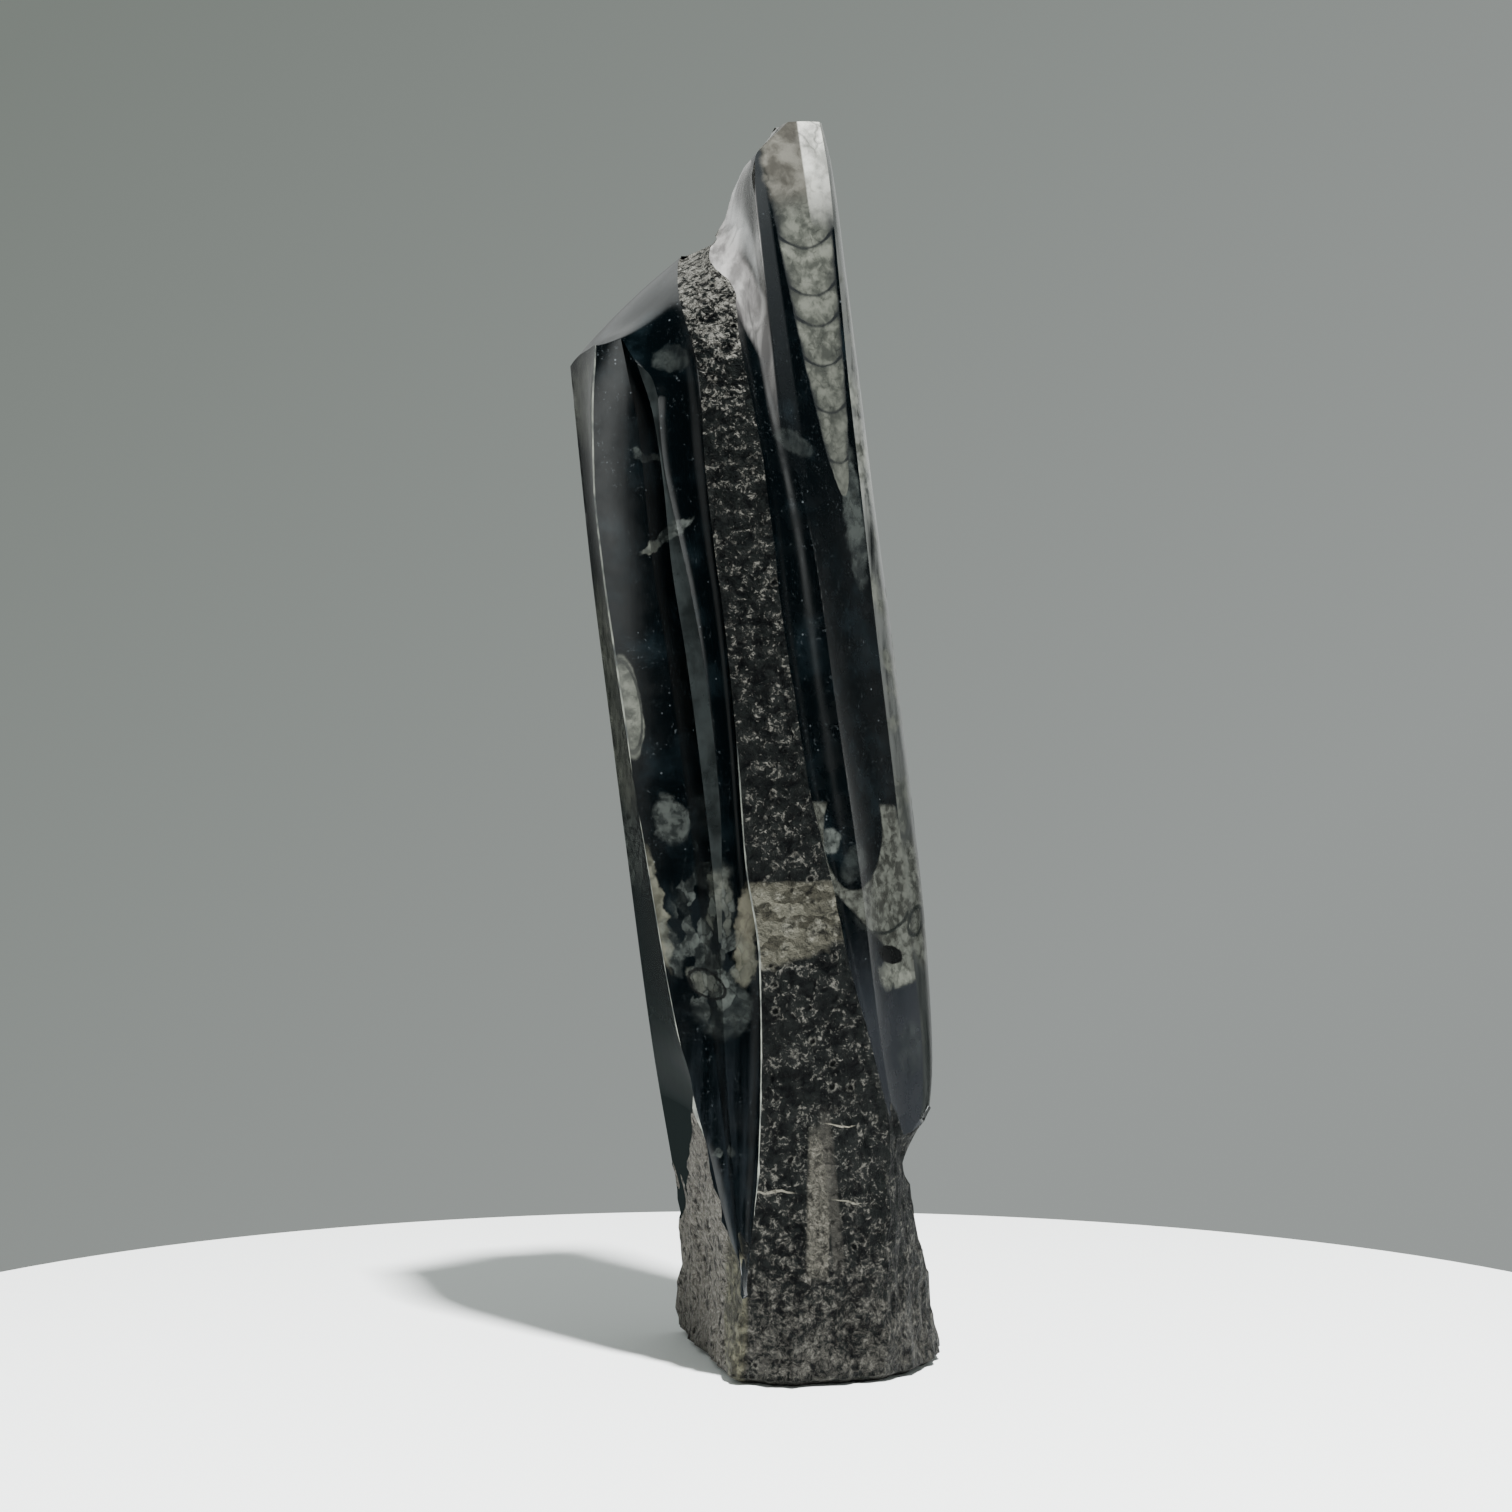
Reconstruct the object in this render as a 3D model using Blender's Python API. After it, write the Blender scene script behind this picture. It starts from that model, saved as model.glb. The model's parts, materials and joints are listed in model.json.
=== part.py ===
"""Orthoceras tower: one standing piece of black fossil limestone.

A rough block leans to the left over a rough base. Long concave flutes are ground
into it from every side, and they leave sharp ridges, two rough bands of the
original skin, a sloping shoulder on the left and a tall peak on the right.
Front is -Y, right is +X, up is +Z. All sizes below are in millimetres.
"""

import math

import bmesh
import bpy
from mathutils import Vector, noise

NAME = "orthoceras_tower"
MM = 0.001

HEIGHT = 420.0  # flat top of the peak
SHELF = 380.5  # top of the left shoulder, where the peak goes on alone
BLOCK_TOP = 432.0  # the block before its top is sawn off
BASE_LUMPS = 2.0  # relief of the rough base
BAND_LUMPS = 0.55  # relief of the rough bands
LUMP_SIZE = 13.0
BASE_HEIGHT = 105.0  # the base's coarser relief fades out up to here
LIP = 1.6  # how far a cutter runs on past the ridge that it leaves
REACH = 42.0  # how far a cutter stands out from the stone
STEADY_HEIGHT = 16.0  # the length of a flute's pointed foot
CENTRE_DEPTH = 61.0  # depths are measured from the front of the base; the origin lies this far back

# The ridges, each as (height, across, depth), from the foot up.
LEFT_BACK = (
    (44, -26, 88), (68, -30, 82), (105, -36, 77), (174, -45, 73), (222, -51, 71),
    (271, -57, 69), (315, -61.5, 67), (341, -64, 66),
)
LEFT_FRONT = (
    (30, -4.2, 7), (44, -7.5, 9), (59, -11.5, 11.5), (75, -15.2, 14), (89, -19.3, 16.5),
    (116, -26.3, 18), (175, -36.8, 19.5), (240, -47, 20.5), (271, -51.4, 21),
    (299, -54.2, 22), (322, -54.6, 23), (344, -53.4, 24),
)
LEFT_POLISH = (
    (44, -25.8, 86), (55, -23.5, 66), (73, -22, 44), (94, -20.8, 17), (116, -26.3, 18),
    (175, -36.8, 19.5), (240, -47, 20.5), (271, -51.4, 21), (299, -54.2, 22),
    (322, -54.6, 23), (344, -53.4, 24),
)
MIDDLE_LEFT = (
    (30, -4, 7), (44, -5.4, 8.3), (75, -7.9, 11.5), (117, -10.7, 13), (147, -12.4, 13.5),
    (172, -14.6, 13.5), (204, -18.3, 13.8), (239, -22.9, 14.5), (271, -28, 15.5),
    (299, -30.8, 16.5), (322, -34.5, 18.3), (334, -38.4, 20),
)
MIDDLE_RIGHT = (
    (30, -4, 7), (44, -5.4, 8.3), (75, -7.9, 11.5), (117, -10.7, 13), (150, -11.2, 13.1),
    (180, -11.4, 12.3), (206, -13.2, 12.6), (239, -17.4, 13), (262, -21.6, 13.8),
    (283, -26.2, 15), (306, -30.8, 16.4), (326, -32.5, 17.8),
)
BAND_LEFT = (
    (30, -3.5, 6), (50, -1.3, 6), (76, 1, 6.5), (111, 1.8, 7.3), (140, 1.2, 8),
    (172, -3.4, 9), (212, -6.4, 9.5), (252, -10.5, 10.3), (278, -14, 11.2),
    (306, -17, 12), (324.5, -18.1, 13), (337, -19.5, 15), (347.5, -22.2, 19),
    (358, -25, 27), (366.5, -26.3, 40), (375, -26.3, 58), (380, -23, 70),
)
BAND_RIGHT = (
    (75.5, 47.9, 25), (88, 44.2, 20.5), (112, 38, 16), (138, 30.9, 13.8), (170, 24, 13),
    (195, 18, 12.5), (226, 12.8, 12.5), (256, 8.3, 12.5), (292, 4.1, 13), (317, 0.2, 14),
    (333, -3.1, 15.5), (345.5, -5.5, 18), (358, -7, 25), (368, -10.5, 34), (381, -13, 50),
    (390.5, -9.7, 57), (405, -5.3, 58), (411, -0.5, 55), (418, 5.9, 50),
)
PEAK_FRONT = (
    (75.5, 48.3, 25.5), (102, 43.2, 22), (123, 40.1, 20.5), (170, 34.3, 19), (224, 26.5, 19),
    (272, 19.7, 19.8), (315, 10.4, 21.3), (333, 7.3, 22.5), (358, 3.9, 25), (380, 1.1, 27),
    (403, -0.8, 30), (409, 0.2, 33), (416, 6.9, 36),
)
RIM_FRONT = (
    (75.8, 48.6, 26.5), (81, 52.8, 35), (86.5, 56.3, 41), (100, 56.6, 44), (144.5, 52.7, 45),
    (194, 47.3, 44.5), (248.5, 40.8, 43.5), (293.5, 35.8, 42.5), (335, 31.1, 41.5),
    (368.5, 27.9, 40), (405, 24.1, 38.5), (420, 21.3, 38),
)
RIM_BACK = (
    (73.7, 49.4, 40), (77, 52.1, 42), (83.4, 55.9, 44), (87.5, 58.9, 46), (103, 60.2, 50),
    (144, 58.2, 52), (194, 52.9, 51.5), (248.5, 46.2, 50.5), (294, 40.2, 49.5),
    (336, 35, 48.3), (369.5, 30.6, 47), (406, 25.1, 45.5), (421, 20.8, 45),
)
BACK_RIGHT = ((60, 48, 90), (105, 46, 82), (194, 40, 78), (300, 27, 75), (421, 17, 66))
BAND_BACK_RIGHT = (
    (40, 30, 110), (90, 20, 98), (194, 11, 92), (340, -7, 85), (380, -5, 83), (405, 3, 78), (421, 12, 73),
)
BAND_BACK_LEFT = ((40, -2, 114), (90, -7, 100), (194, -19, 93), (340, -36, 84), (382, -30, 82))

# The foot's outline, and the rough skin below the ends of the ridges.
FOOT = {
    "left_back": ((0, -28, 110), (12, -28.4, 106), (23, -27.3, 100), (38, -27.2, 93)),
    "left_front": ((0, -8.6, 10), (15, -6.2, 8.4)),
    "band_left": ((0, -6.2, 7.6), (15, -4.6, 6.4)),
    "band_middle": ((0, 12, 0.9), (12, 13, 1.6), (30, 15, 3.6), (60, 18, 6.8), (84, 20, 9.2)),
    "band_right": ((0, 43, 12.5), (30, 44, 14), (60, 44.5, 17), (76, 45, 20)),
    "peak_front": ((0, 53, 27), (30, 50, 26), (60, 48.2, 25), (76, 47.6, 25.5)),
    "rim_front": ((0, 60, 43), (21, 56.5, 40), (56, 51.5, 37), (70, 49, 34), (76, 50.2, 35)),
    "rim_back": ((0, 63.6, 55), (7, 63.2, 54), (21, 59, 51), (38.5, 56, 49), (56, 52.8, 47),
                 (62, 52, 46), (68, 48.9, 45)),
    "back_right": ((0, 60, 92), (40, 54, 92)),
    "band_back_right": ((0, 42, 117), (20, 38, 114)),
    "band_back_left": ((0, 0, 121), (20, -1, 117)),
}

# Above the shelf the block is only as wide as the peak.
PEAK_BLOCK = {
    "left_back": ((377, -25, 80), (381.5, -11.5, 80), (391, -6, 79), (405, -1, 77),
                  (412, 3.5, 74), (420, 10.5, 71), (BLOCK_TOP, 13, 69)),
    "left_front": ((377, -25.5, 74), (381.5, -11.8, 74), (391, -6.5, 73), (405, -1.6, 71),
                   (412, 3.2, 69), (420, 10.2, 66), (BLOCK_TOP, 12.5, 65)),
    "band_left": ((381.5, -12.4, 68), (391, -7.4, 67), (405, -2.6, 66),
                  (412, 2.3, 64), (420, 9.5, 61), (BLOCK_TOP, 11.8, 60)),
    "band_middle": ((381.5, -13.6, 60), (391, -9, 62), (405, -4.3, 62),
                    (412, 0.3, 59.5), (420, 8.2, 55), (BLOCK_TOP, 10.5, 54)),
    "band_right": ((381.5, -14.6, 53), (391, -10.5, 57), (405, -6, 58),
                   (412, -0.9, 54.5), (420, 7, 48.5), (BLOCK_TOP, 9.5, 47)),
    "peak_front": ((403, -0.9, 29.3), (409, 0.2, 32.4), (416, 7, 35.8), (420, 11, 38),
                   (BLOCK_TOP, 12.5, 39)),
    "band_back_left": ((381.5, -11.5, 84), (391, -6, 83), (405, -1, 80), (420, 12, 74),
                       (BLOCK_TOP, 14, 72)),
}
SKIN_STARTS = {"band_right": 86.0, "peak_front": 98.0, "rim_front": 84.0}

# How deep each flute is hollowed, as (height, depth); below zero it swells.
LEFT_FACE_HOLLOW = ((44, 0.1), (94, 0.4), (200, 0.7), (340, 0.7))
CORNER_HOLLOW = ((30, 0.1), (75, 2), (117, 4), (172, 5.4), (240, 6.2), (300, 5.8), (340, 4.5))
MIDDLE_HOLLOW = ((150, 0.05), (200, 0.25), (320, 0.25))
PEAK_SCOOP_HOLLOW = (
    (75, 0.1), (88, 0.6), (112, 1.3), (170, 2.4), (292, 2.8), (333, 3.3), (368, 4),
    (381, 3), (395, 1.2), (411, 0.2),
)
FOSSIL_FACE_HOLLOW = (
    (75, 0.1), (88, 0.8), (140, 1.5), (224, 1.2), (292, 0.6), (333, -0.2), (380, -1), (420, -1.3),
)
RIM_HOLLOW = ((80, -0.2), (100, -1), (420, -1.2))
BACK_HOLLOW = ((64, -1.5), (95, 2.5), (200, 5), (340, 4), (420, 2))
BACK_RIGHT_HOLLOW = ((88, -1.5), (112, 2), (200, 5), (340, 4), (420, 2))

# Each flute: left ridge, right ridge, stretches of height with the spacing of
# its sections, hollow, faces across it, and where a creased valley lies in it.
FLUTES = {
    "left_face": (LEFT_BACK, LEFT_POLISH, ((45, 116, 9), (116, 380, 22)), LEFT_FACE_HOLLOW, 3, 0),
    "corner_flute": (LEFT_FRONT, MIDDLE_LEFT, ((30, 118, 10), (118, 372, 13)), CORNER_HOLLOW, 6, 2 / 3),
    "middle_flat": (MIDDLE_LEFT, MIDDLE_RIGHT, ((146, 372, 15),), MIDDLE_HOLLOW, 2, 0),
    "right_flute": (
        BAND_RIGHT, PEAK_FRONT, ((76, 123, 7), (123, 330, 14), (330, 426, 6)), PEAK_SCOOP_HOLLOW, 7, 0,
    ),
    "fossil_face": (
        PEAK_FRONT, RIM_FRONT, ((76, 103, 4), (103, 116, 7), (116, 424, 22)), FOSSIL_FACE_HOLLOW, 6, 0,
    ),
    "right_rim": (RIM_FRONT, RIM_BACK, ((84, 103, 4), (103, 116, 7), (116, 424, 22)), RIM_HOLLOW, 3, 0),
    "back_right_flute": (RIM_BACK, BACK_RIGHT, ((88, 112, 8), (112, 430, 20)), BACK_RIGHT_HOLLOW, 6, 0),
    "back_middle_flute": (BACK_RIGHT, BAND_BACK_RIGHT, ((64, 96, 8), (96, 430, 20)), BACK_HOLLOW, 6, 0),
    "back_left_flute": (BAND_BACK_LEFT, LEFT_BACK, ((64, 96, 8), (96, 400, 20)), BACK_HOLLOW, 7, 0),
}

# The left flute in rising sections: (left end), (right end), hollow. It starts
# as a point at the foot and curls over backwards to make the shoulder.
LEFT_FLUTE_HOLLOW = ((30, 0.1), (44, 0.5), (75, 1.2), (117, 2), (172, 1.8), (240, 2.4), (306, 3.2))
SHOULDER = (
    ((326, -32.5, 17.8), (324.5, -18.1, 13), 3.4),
    ((333, -35.2, 19), (337, -19.5, 15), 3.6),
    ((340.5, -43.5, 22.5), (347.5, -22.2, 19), 3.4),
    ((343.8, -53.4, 25), (358, -25, 27), 2.6),
    ((343, -58, 40), (366.5, -26.4, 40), 1.2),
    ((342, -61.5, 54), (375, -26.8, 58), -0.8),
    ((340.6, -64, 66), (381.2, -22.4, 72), -1.7),
    ((337, -66, 84), (382.5, -19, 90), -0.9),
)

ROUGH_COLOUR = (0.045, 0.045, 0.042, 1.0)
ROUGHNESS = 0.35


def clear_scene():
    for obj in list(bpy.data.objects):
        bpy.data.objects.remove(obj)


def new_collection(name):
    collection = bpy.data.collections.new(name)
    bpy.context.scene.collection.children.link(collection)
    return collection


def tangents(heights, values):
    """Slopes of a curve that passes through the values without overshooting them."""
    steps = [(b - a) / (q - p) for p, q, a, b in zip(heights, heights[1:], values, values[1:])]
    slopes = [steps[0]]
    for before, after in zip(steps, steps[1:]):
        even = before * after > 0
        slopes.append(2 * before * after / (before + after) if even else 0.0)
    slopes.append(steps[-1])
    return slopes


def smooth_value(heights, values, slopes, height):
    """The curve's value at a height; beyond its ends it runs straight on."""
    if height <= heights[0]:
        return values[0] + slopes[0] * (height - heights[0])
    if height >= heights[-1]:
        return values[-1] + slopes[-1] * (height - heights[-1])
    at = max(i for i, known in enumerate(heights[:-1]) if known <= height)
    span = heights[at + 1] - heights[at]
    t = (height - heights[at]) / span
    rise, fall = t * t * (3 - 2 * t), (1 - t) * (1 - t) * (1 + 2 * t)
    ease = t * (1 - t) * ((1 - t) * slopes[at] - t * slopes[at + 1]) * span
    return values[at] * fall + values[at + 1] * rise + ease


def curve(points):
    """A function of height that gives the curve's other values there."""
    heights = [point[0] for point in points]
    columns = [[point[i] for point in points] for i in range(1, len(points[0]))]
    slopes = [tangents(heights, column) for column in columns]

    def at(height):
        found = [smooth_value(heights, c, s, height) for c, s in zip(columns, slopes)]
        return found[0] if len(found) == 1 else found

    return at


def ridge(points):
    plan = curve(points)

    def at(height):
        across, depth = plan(height)
        return Vector((across, depth, height))

    return at


def spaced(low, high, step):
    count = max(1, round((high - low) / step))
    return [low + (high - low) * i / count for i in range(count + 1)]


def make_object(name, rings, collection, smooth):
    """A closed tube through the rings, in metres, with both of its ends filled."""
    mesh = bmesh.new()
    origin = Vector((0, CENTRE_DEPTH, 0))
    rows = [[mesh.verts.new((point - origin) * MM) for point in ring] for ring in rings]
    for low, high in zip(rows, rows[1:]):
        for i, corner in enumerate(low):
            j = (i + 1) % len(low)
            mesh.faces.new((corner, low[j], high[j], high[i]))
    mesh.faces.new(list(reversed(rows[0])))
    mesh.faces.new(rows[-1])
    bmesh.ops.recalc_face_normals(mesh, faces=mesh.faces)
    bmesh.ops.triangulate(mesh, faces=mesh.faces)
    for face in mesh.faces:
        face.smooth = smooth
    data = bpy.data.meshes.new(name)
    mesh.to_mesh(data)
    mesh.free()
    obj = bpy.data.objects.new(name, data)
    collection.objects.link(obj)
    return obj


def hollow_section(left, right, along, inward, hollow, count, valley=0.0):
    """One section of a cutter: the ground curve between two ridges, a lip past
    each of them, and the side that stands clear of the stone."""
    chord = right - left
    ground = []
    for i in range(count + 1):
        u = i / count
        bow = 4 * u * (1 - u)
        if valley:
            side = u / valley if u < valley else (1 - u) / (1 - valley)
            bow = side * (1.25 - 0.25 * side)
        ground.append(left + chord * u + inward * hollow * bow)
    lift = inward * LIP * (0.35 + 3.0 * max(hollow, 0.0) / max(chord.length, 6.0))
    start = left - along * LIP - lift
    end = right + along * LIP - lift
    far = inward * REACH
    return [start - far, start, *ground, end, end - far]


def lead_out(rings):
    """Runs the foot of a cutter out of the stone, so that it leaves no step."""
    out = (rings[0][0] - rings[0][1]).normalized() * 4.0 + Vector((0, 0, -6.0))
    return [[point + out for point in rings[0]], *rings]


def flute(name, left, right, heights, hollow, collection, count=7, valley=0.0):
    """A cutter between two ridges that meet at the foot, where its direction is
    taken from a little further up."""
    depth = curve(hollow)
    steady = heights[0] + STEADY_HEIGHT
    rings = []
    for height in heights:
        guide = max(height, steady)
        along = (right(guide) - left(guide)) * Vector((1, 1, 0))
        along.normalize()
        inward = Vector((-along.y, along.x, 0))
        ring = hollow_section(left(height), right(height), along, inward, depth(height), count, valley)
        rings.append(ring)
    return make_object(name, lead_out(rings), collection, smooth=True)


def left_flute_rings(count=7):
    """The left flute's sections, and then the shoulder's, on one smooth sweep."""
    left, right, hollow = ridge(MIDDLE_RIGHT), ridge(BAND_LEFT), curve(LEFT_FLUTE_HOLLOW)
    sections = []
    for height in spaced(30.0, 318.0, 12.0):
        sections.append((left(height), right(height), hollow(height)))
    points = []
    for number, (start, end, depth) in enumerate(SHOULDER):
        points.append((number, start[1], start[2], start[0], end[1], end[2], end[0], depth))
    sweep = curve(points)
    for step in spaced(0.0, len(SHOULDER) - 1.0, 0.4):
        values = sweep(step)
        sections.append((Vector(values[0:3]), Vector(values[3:6]), values[6]))
    middles = [(start + end) / 2 for start, end, _ in sections]
    rings = []
    for i, (start, end, depth) in enumerate(sections):
        travel = middles[min(i + 1, len(middles) - 1)] - middles[max(i - 1, 0)]
        along = end - start if i > 2 else sections[3][1] - sections[3][0]
        along.normalize()
        inward = travel.cross(along).normalized()
        rings.append(hollow_section(start, end, along, inward, depth, count))
    return lead_out(rings)


def band_middle():
    """The line midway between the front band's two ridges."""
    other = curve(BAND_RIGHT)
    points = []
    for height, across, depth in BAND_LEFT:
        beside = other(height)
        points.append((height, (across + beside[0]) / 2, (depth + beside[1]) / 2))
    return points


def block_rails():
    """The corners of the rough block, as rails round it from the left back."""
    def rail(key, points, out):
        low = FOOT[key]
        high = PEAK_BLOCK.get(key, ())
        start = SKIN_STARTS.get(key, low[-1][0] + 3)
        end = high[0][0] - 1.2 if high else BLOCK_TOP
        middle = [(z, x + out[0], y + out[1]) for z, x, y in points if start < z <= end]
        if high and middle[-1][0] < end - 1:
            middle.append((end, middle[-1][1], middle[-1][2]))
        return ridge([*low, *middle, *high])

    corners = [
        ("left_back", LEFT_BACK, (-0.9, 0.6), 4),
        ("left_front", LEFT_FRONT, (-0.5, -0.9), 2),
        ("band_left", BAND_LEFT, (0, 0), 3),
        ("band_middle", band_middle(), (0, -0.4), 4),
        ("band_right", BAND_RIGHT, (0, 0), 1),
        ("peak_front", PEAK_FRONT, (0.2, -1.3), 3),
        ("rim_front", RIM_FRONT, (0.9, -1.0), 2),
        ("rim_back", RIM_BACK, (1.0, 0.2), 4),
        ("back_right", BACK_RIGHT, (0.8, 0.8), 4),
        ("band_back_right", BAND_BACK_RIGHT, (0, 0), 4),
        ("band_back_left", BAND_BACK_LEFT, (0, 0), 4),
    ]
    return [(rail(key, points, out), steps) for key, points, out, steps in corners]


def block_heights():
    rows = spaced(0.0, 64.0, 4.3) + spaced(64.0, 92.0, 3.2)[1:] + spaced(92.0, 340.0, 8.0)[1:]
    rows += spaced(340.0, 372.0, 5.0)[1:] + [376, 377.2, SHELF, SHELF + 1.2]
    rows += spaced(SHELF + 1.2, BLOCK_TOP, 7.0)[1:]
    return rows


def relief(point):
    """How far the rough skin stands out at a point, in millimetres."""
    coarse = noise.noise(point / LUMP_SIZE)
    fine = noise.noise(point / LUMP_SIZE * 2.3 + Vector((7, 3, 5)))
    ledge = abs(noise.noise(Vector((point.x, point.y, point.z * 0.45)) / LUMP_SIZE + Vector((1, 9, 4))))
    blend = max(0.0, min(1.0, 1.4 - point.z / BASE_HEIGHT))
    size = BAND_LUMPS + (BASE_LUMPS - BAND_LUMPS) * blend
    return size * (0.9 * coarse + 0.6 * fine - 1.2 * ledge + 0.25)


def block_ring(rails, height):
    corners = [(rail(height), steps) for rail, steps in rails]
    ring = []
    for i, (corner, steps) in enumerate(corners):
        following = corners[(i + 1) % len(corners)][0]
        chord = following - corner
        outward = Vector((chord.y, -chord.x, 0)).normalized()
        swell = 0.5 if steps > 3 else 0.0
        for step in range(steps):
            u = step / steps
            ring.append(corner + chord * u + outward * swell * 4 * u * (1 - u))
    count = len(ring)
    rough = []
    for i, point in enumerate(ring):
        across = ring[(i + 1) % count] - ring[i - 1]
        outward = Vector((across.y, -across.x, 0)).normalized()
        rough.append(point + outward * relief(point))
    return rough


def foot_rings(ring):
    """The flat underside and the worn edge round it, lifted under the right corner."""
    centre = sum(ring, Vector()) / len(ring)
    flat, edge = [], []
    for point in ring:
        inner = centre + (point - centre) * 0.9
        flat.append(Vector((inner.x, inner.y, 0)))
        wear = 0.9 * max(0.0, noise.noise(point / 9.0)) + 0.25
        corner = max(0.0, 1 - (point - Vector((64, 50, 0))).length / 22)
        edge.append(Vector((point.x, point.y, wear + 1.6 * corner)))
    return [flat, edge]


def make_block(collection):
    rails = block_rails()
    heights = block_heights()
    rings = foot_rings(block_ring(rails, heights[0]))
    rings += [block_ring(rails, height) for height in heights[1:]]
    return make_object(NAME, rings, collection, smooth=False)


def make_cutters(collection):
    for name, (left, right, stretches, hollow, count, valley) in FLUTES.items():
        heights = [stretches[0][0]]
        for low, high, step in stretches:
            heights += spaced(low, high, step)[1:]
        flute(name, ridge(left), ridge(right), heights, hollow, collection, count, valley)
    make_object("left_flute", left_flute_rings(), collection, smooth=True)


def make_saw(collection):
    """A slab that saws the peak off flat at its full height."""
    bpy.ops.mesh.primitive_cube_add(size=200 * MM, location=(0, 0, (HEIGHT + 100) * MM))
    saw = bpy.context.object
    saw.name = "top_saw"
    for owner in list(saw.users_collection):
        owner.objects.unlink(saw)
    collection.objects.link(saw)
    return saw


def cut(stone, cutters):
    """Takes every cutter away from the stone in one Boolean."""
    for cutter in cutters.objects:
        cutter.hide_render = True
        cutter.display_type = "WIRE"
    modifier = stone.modifiers.new("flutes", "BOOLEAN")
    modifier.operation = "DIFFERENCE"
    modifier.solver = "EXACT"
    modifier.operand_type = "COLLECTION"
    modifier.collection = cutters


def stone_material():
    material = bpy.data.materials.new("polished black fossil limestone")
    material.use_nodes = True
    shader = material.node_tree.nodes["Principled BSDF"]
    shader.inputs["Base Color"].default_value = ROUGH_COLOUR
    shader.inputs["Roughness"].default_value = ROUGHNESS
    shader.inputs["Metallic"].default_value = 0.0
    return material


def apply_cuts(stone):
    """Bakes the Booleans into the stone, so that only its real ridges stay sharp."""
    bpy.context.view_layer.update()
    graph = bpy.context.evaluated_depsgraph_get()
    cut_mesh = bpy.data.meshes.new_from_object(stone.evaluated_get(graph))
    stone.modifiers.clear()
    stone.data = cut_mesh
    stone.data.name = NAME
    for face in stone.data.polygons:
        face.use_smooth = True
    stone.data.set_sharp_from_angle(angle=math.radians(24))


def main():
    clear_scene()
    parts = new_collection("orthoceras tower")
    cutters = new_collection("cutters")
    stone = make_block(parts)
    stone.data.materials.append(stone_material())
    make_cutters(cutters)
    make_saw(cutters)
    cut(stone, cutters)
    apply_cuts(stone)


main()
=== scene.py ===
"""Orthoceras tower: a standing piece of black fossil limestone, ground and polished.

A rough block leans to the left over a rough base. Concave flutes are ground into
it from every side and polished, so that the shells, the calcite and the veins in
the stone show. Two rough bands and the base keep the natural skin. Lengths in the
tables are millimetres: across (right is +), depth (from the front of the base
backwards) and height.
"""

import json
import math

import bmesh
import bpy
from bpy.props import FloatProperty, FloatVectorProperty, PointerProperty
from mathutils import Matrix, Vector, noise

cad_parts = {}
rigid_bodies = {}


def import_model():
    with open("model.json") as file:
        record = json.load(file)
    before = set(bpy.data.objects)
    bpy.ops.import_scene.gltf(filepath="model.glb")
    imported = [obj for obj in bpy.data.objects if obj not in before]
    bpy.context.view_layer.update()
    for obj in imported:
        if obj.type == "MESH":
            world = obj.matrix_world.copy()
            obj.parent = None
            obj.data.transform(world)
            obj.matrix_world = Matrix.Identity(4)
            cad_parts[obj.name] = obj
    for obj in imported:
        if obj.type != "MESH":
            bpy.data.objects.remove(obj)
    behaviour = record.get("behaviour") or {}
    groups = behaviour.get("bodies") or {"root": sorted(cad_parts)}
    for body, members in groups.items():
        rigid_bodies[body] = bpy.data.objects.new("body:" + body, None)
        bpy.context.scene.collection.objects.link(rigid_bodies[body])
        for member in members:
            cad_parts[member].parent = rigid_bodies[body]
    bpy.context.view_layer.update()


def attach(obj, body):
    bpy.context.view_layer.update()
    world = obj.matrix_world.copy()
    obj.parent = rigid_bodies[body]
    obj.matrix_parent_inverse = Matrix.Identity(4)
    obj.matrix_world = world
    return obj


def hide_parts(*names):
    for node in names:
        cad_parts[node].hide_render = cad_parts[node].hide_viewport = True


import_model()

bl_info = {
    "name": "Orthoceras tower",
    "version": (1, 0, 0),
    "blender": (4, 5, 0),
    "location": "View3D > Sidebar > Fossil",
    "description": "Makes a fluted tower of black orthoceras limestone and its stage",
    "category": "Add Mesh",
}

MM = 0.001
HEIGHT = 420.0
BLOCK_TOP = 432.0
CENTRE_DEPTH = 61.0
BASE_HEIGHT = 105.0

# The natural skin.
LUMP_SIZE = 13.0
CHIP_SIZE = 4.6
FINE_CHIP_SIZE = 2.1
PIT_SIZE = 3.4
STEADY_EDGE = 3.0  # so near a ridge, the skin keeps close to the ridge's line

# The edge of the foot is worn, and its right corner is lifted off the ground.
FOOT_WEAR = 0.9
FOOT_WEAR_SIZE = 9.0
LIFTED_CORNER = Vector((64, 50, 0))
LIFTED_REACH = 22
LIFT = 1.6

# The cutters, which take away the stone before a ground face.
LIP = 1.6  # how far they go past the face's two ridges
REACH = 42.0  # how far they go out of the stone
LEAD_OUT = 4.0  # how far out and down their lowest row lies from the first section
LEAD_DOWN = 6.0
STEADY_HEIGHT = 16.0  # how much of the foot keeps one direction
FLAT_HALF_WIDTH = 2.4
FLAT_REACH = 8.0
SAW = 200  # the block that takes off the top

# Inside one flute an edge is sharp past this bend, unless it bounds a sliver.
CREASE = math.radians(18.0)
SLIVER = 4e-9  # square metres

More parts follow.
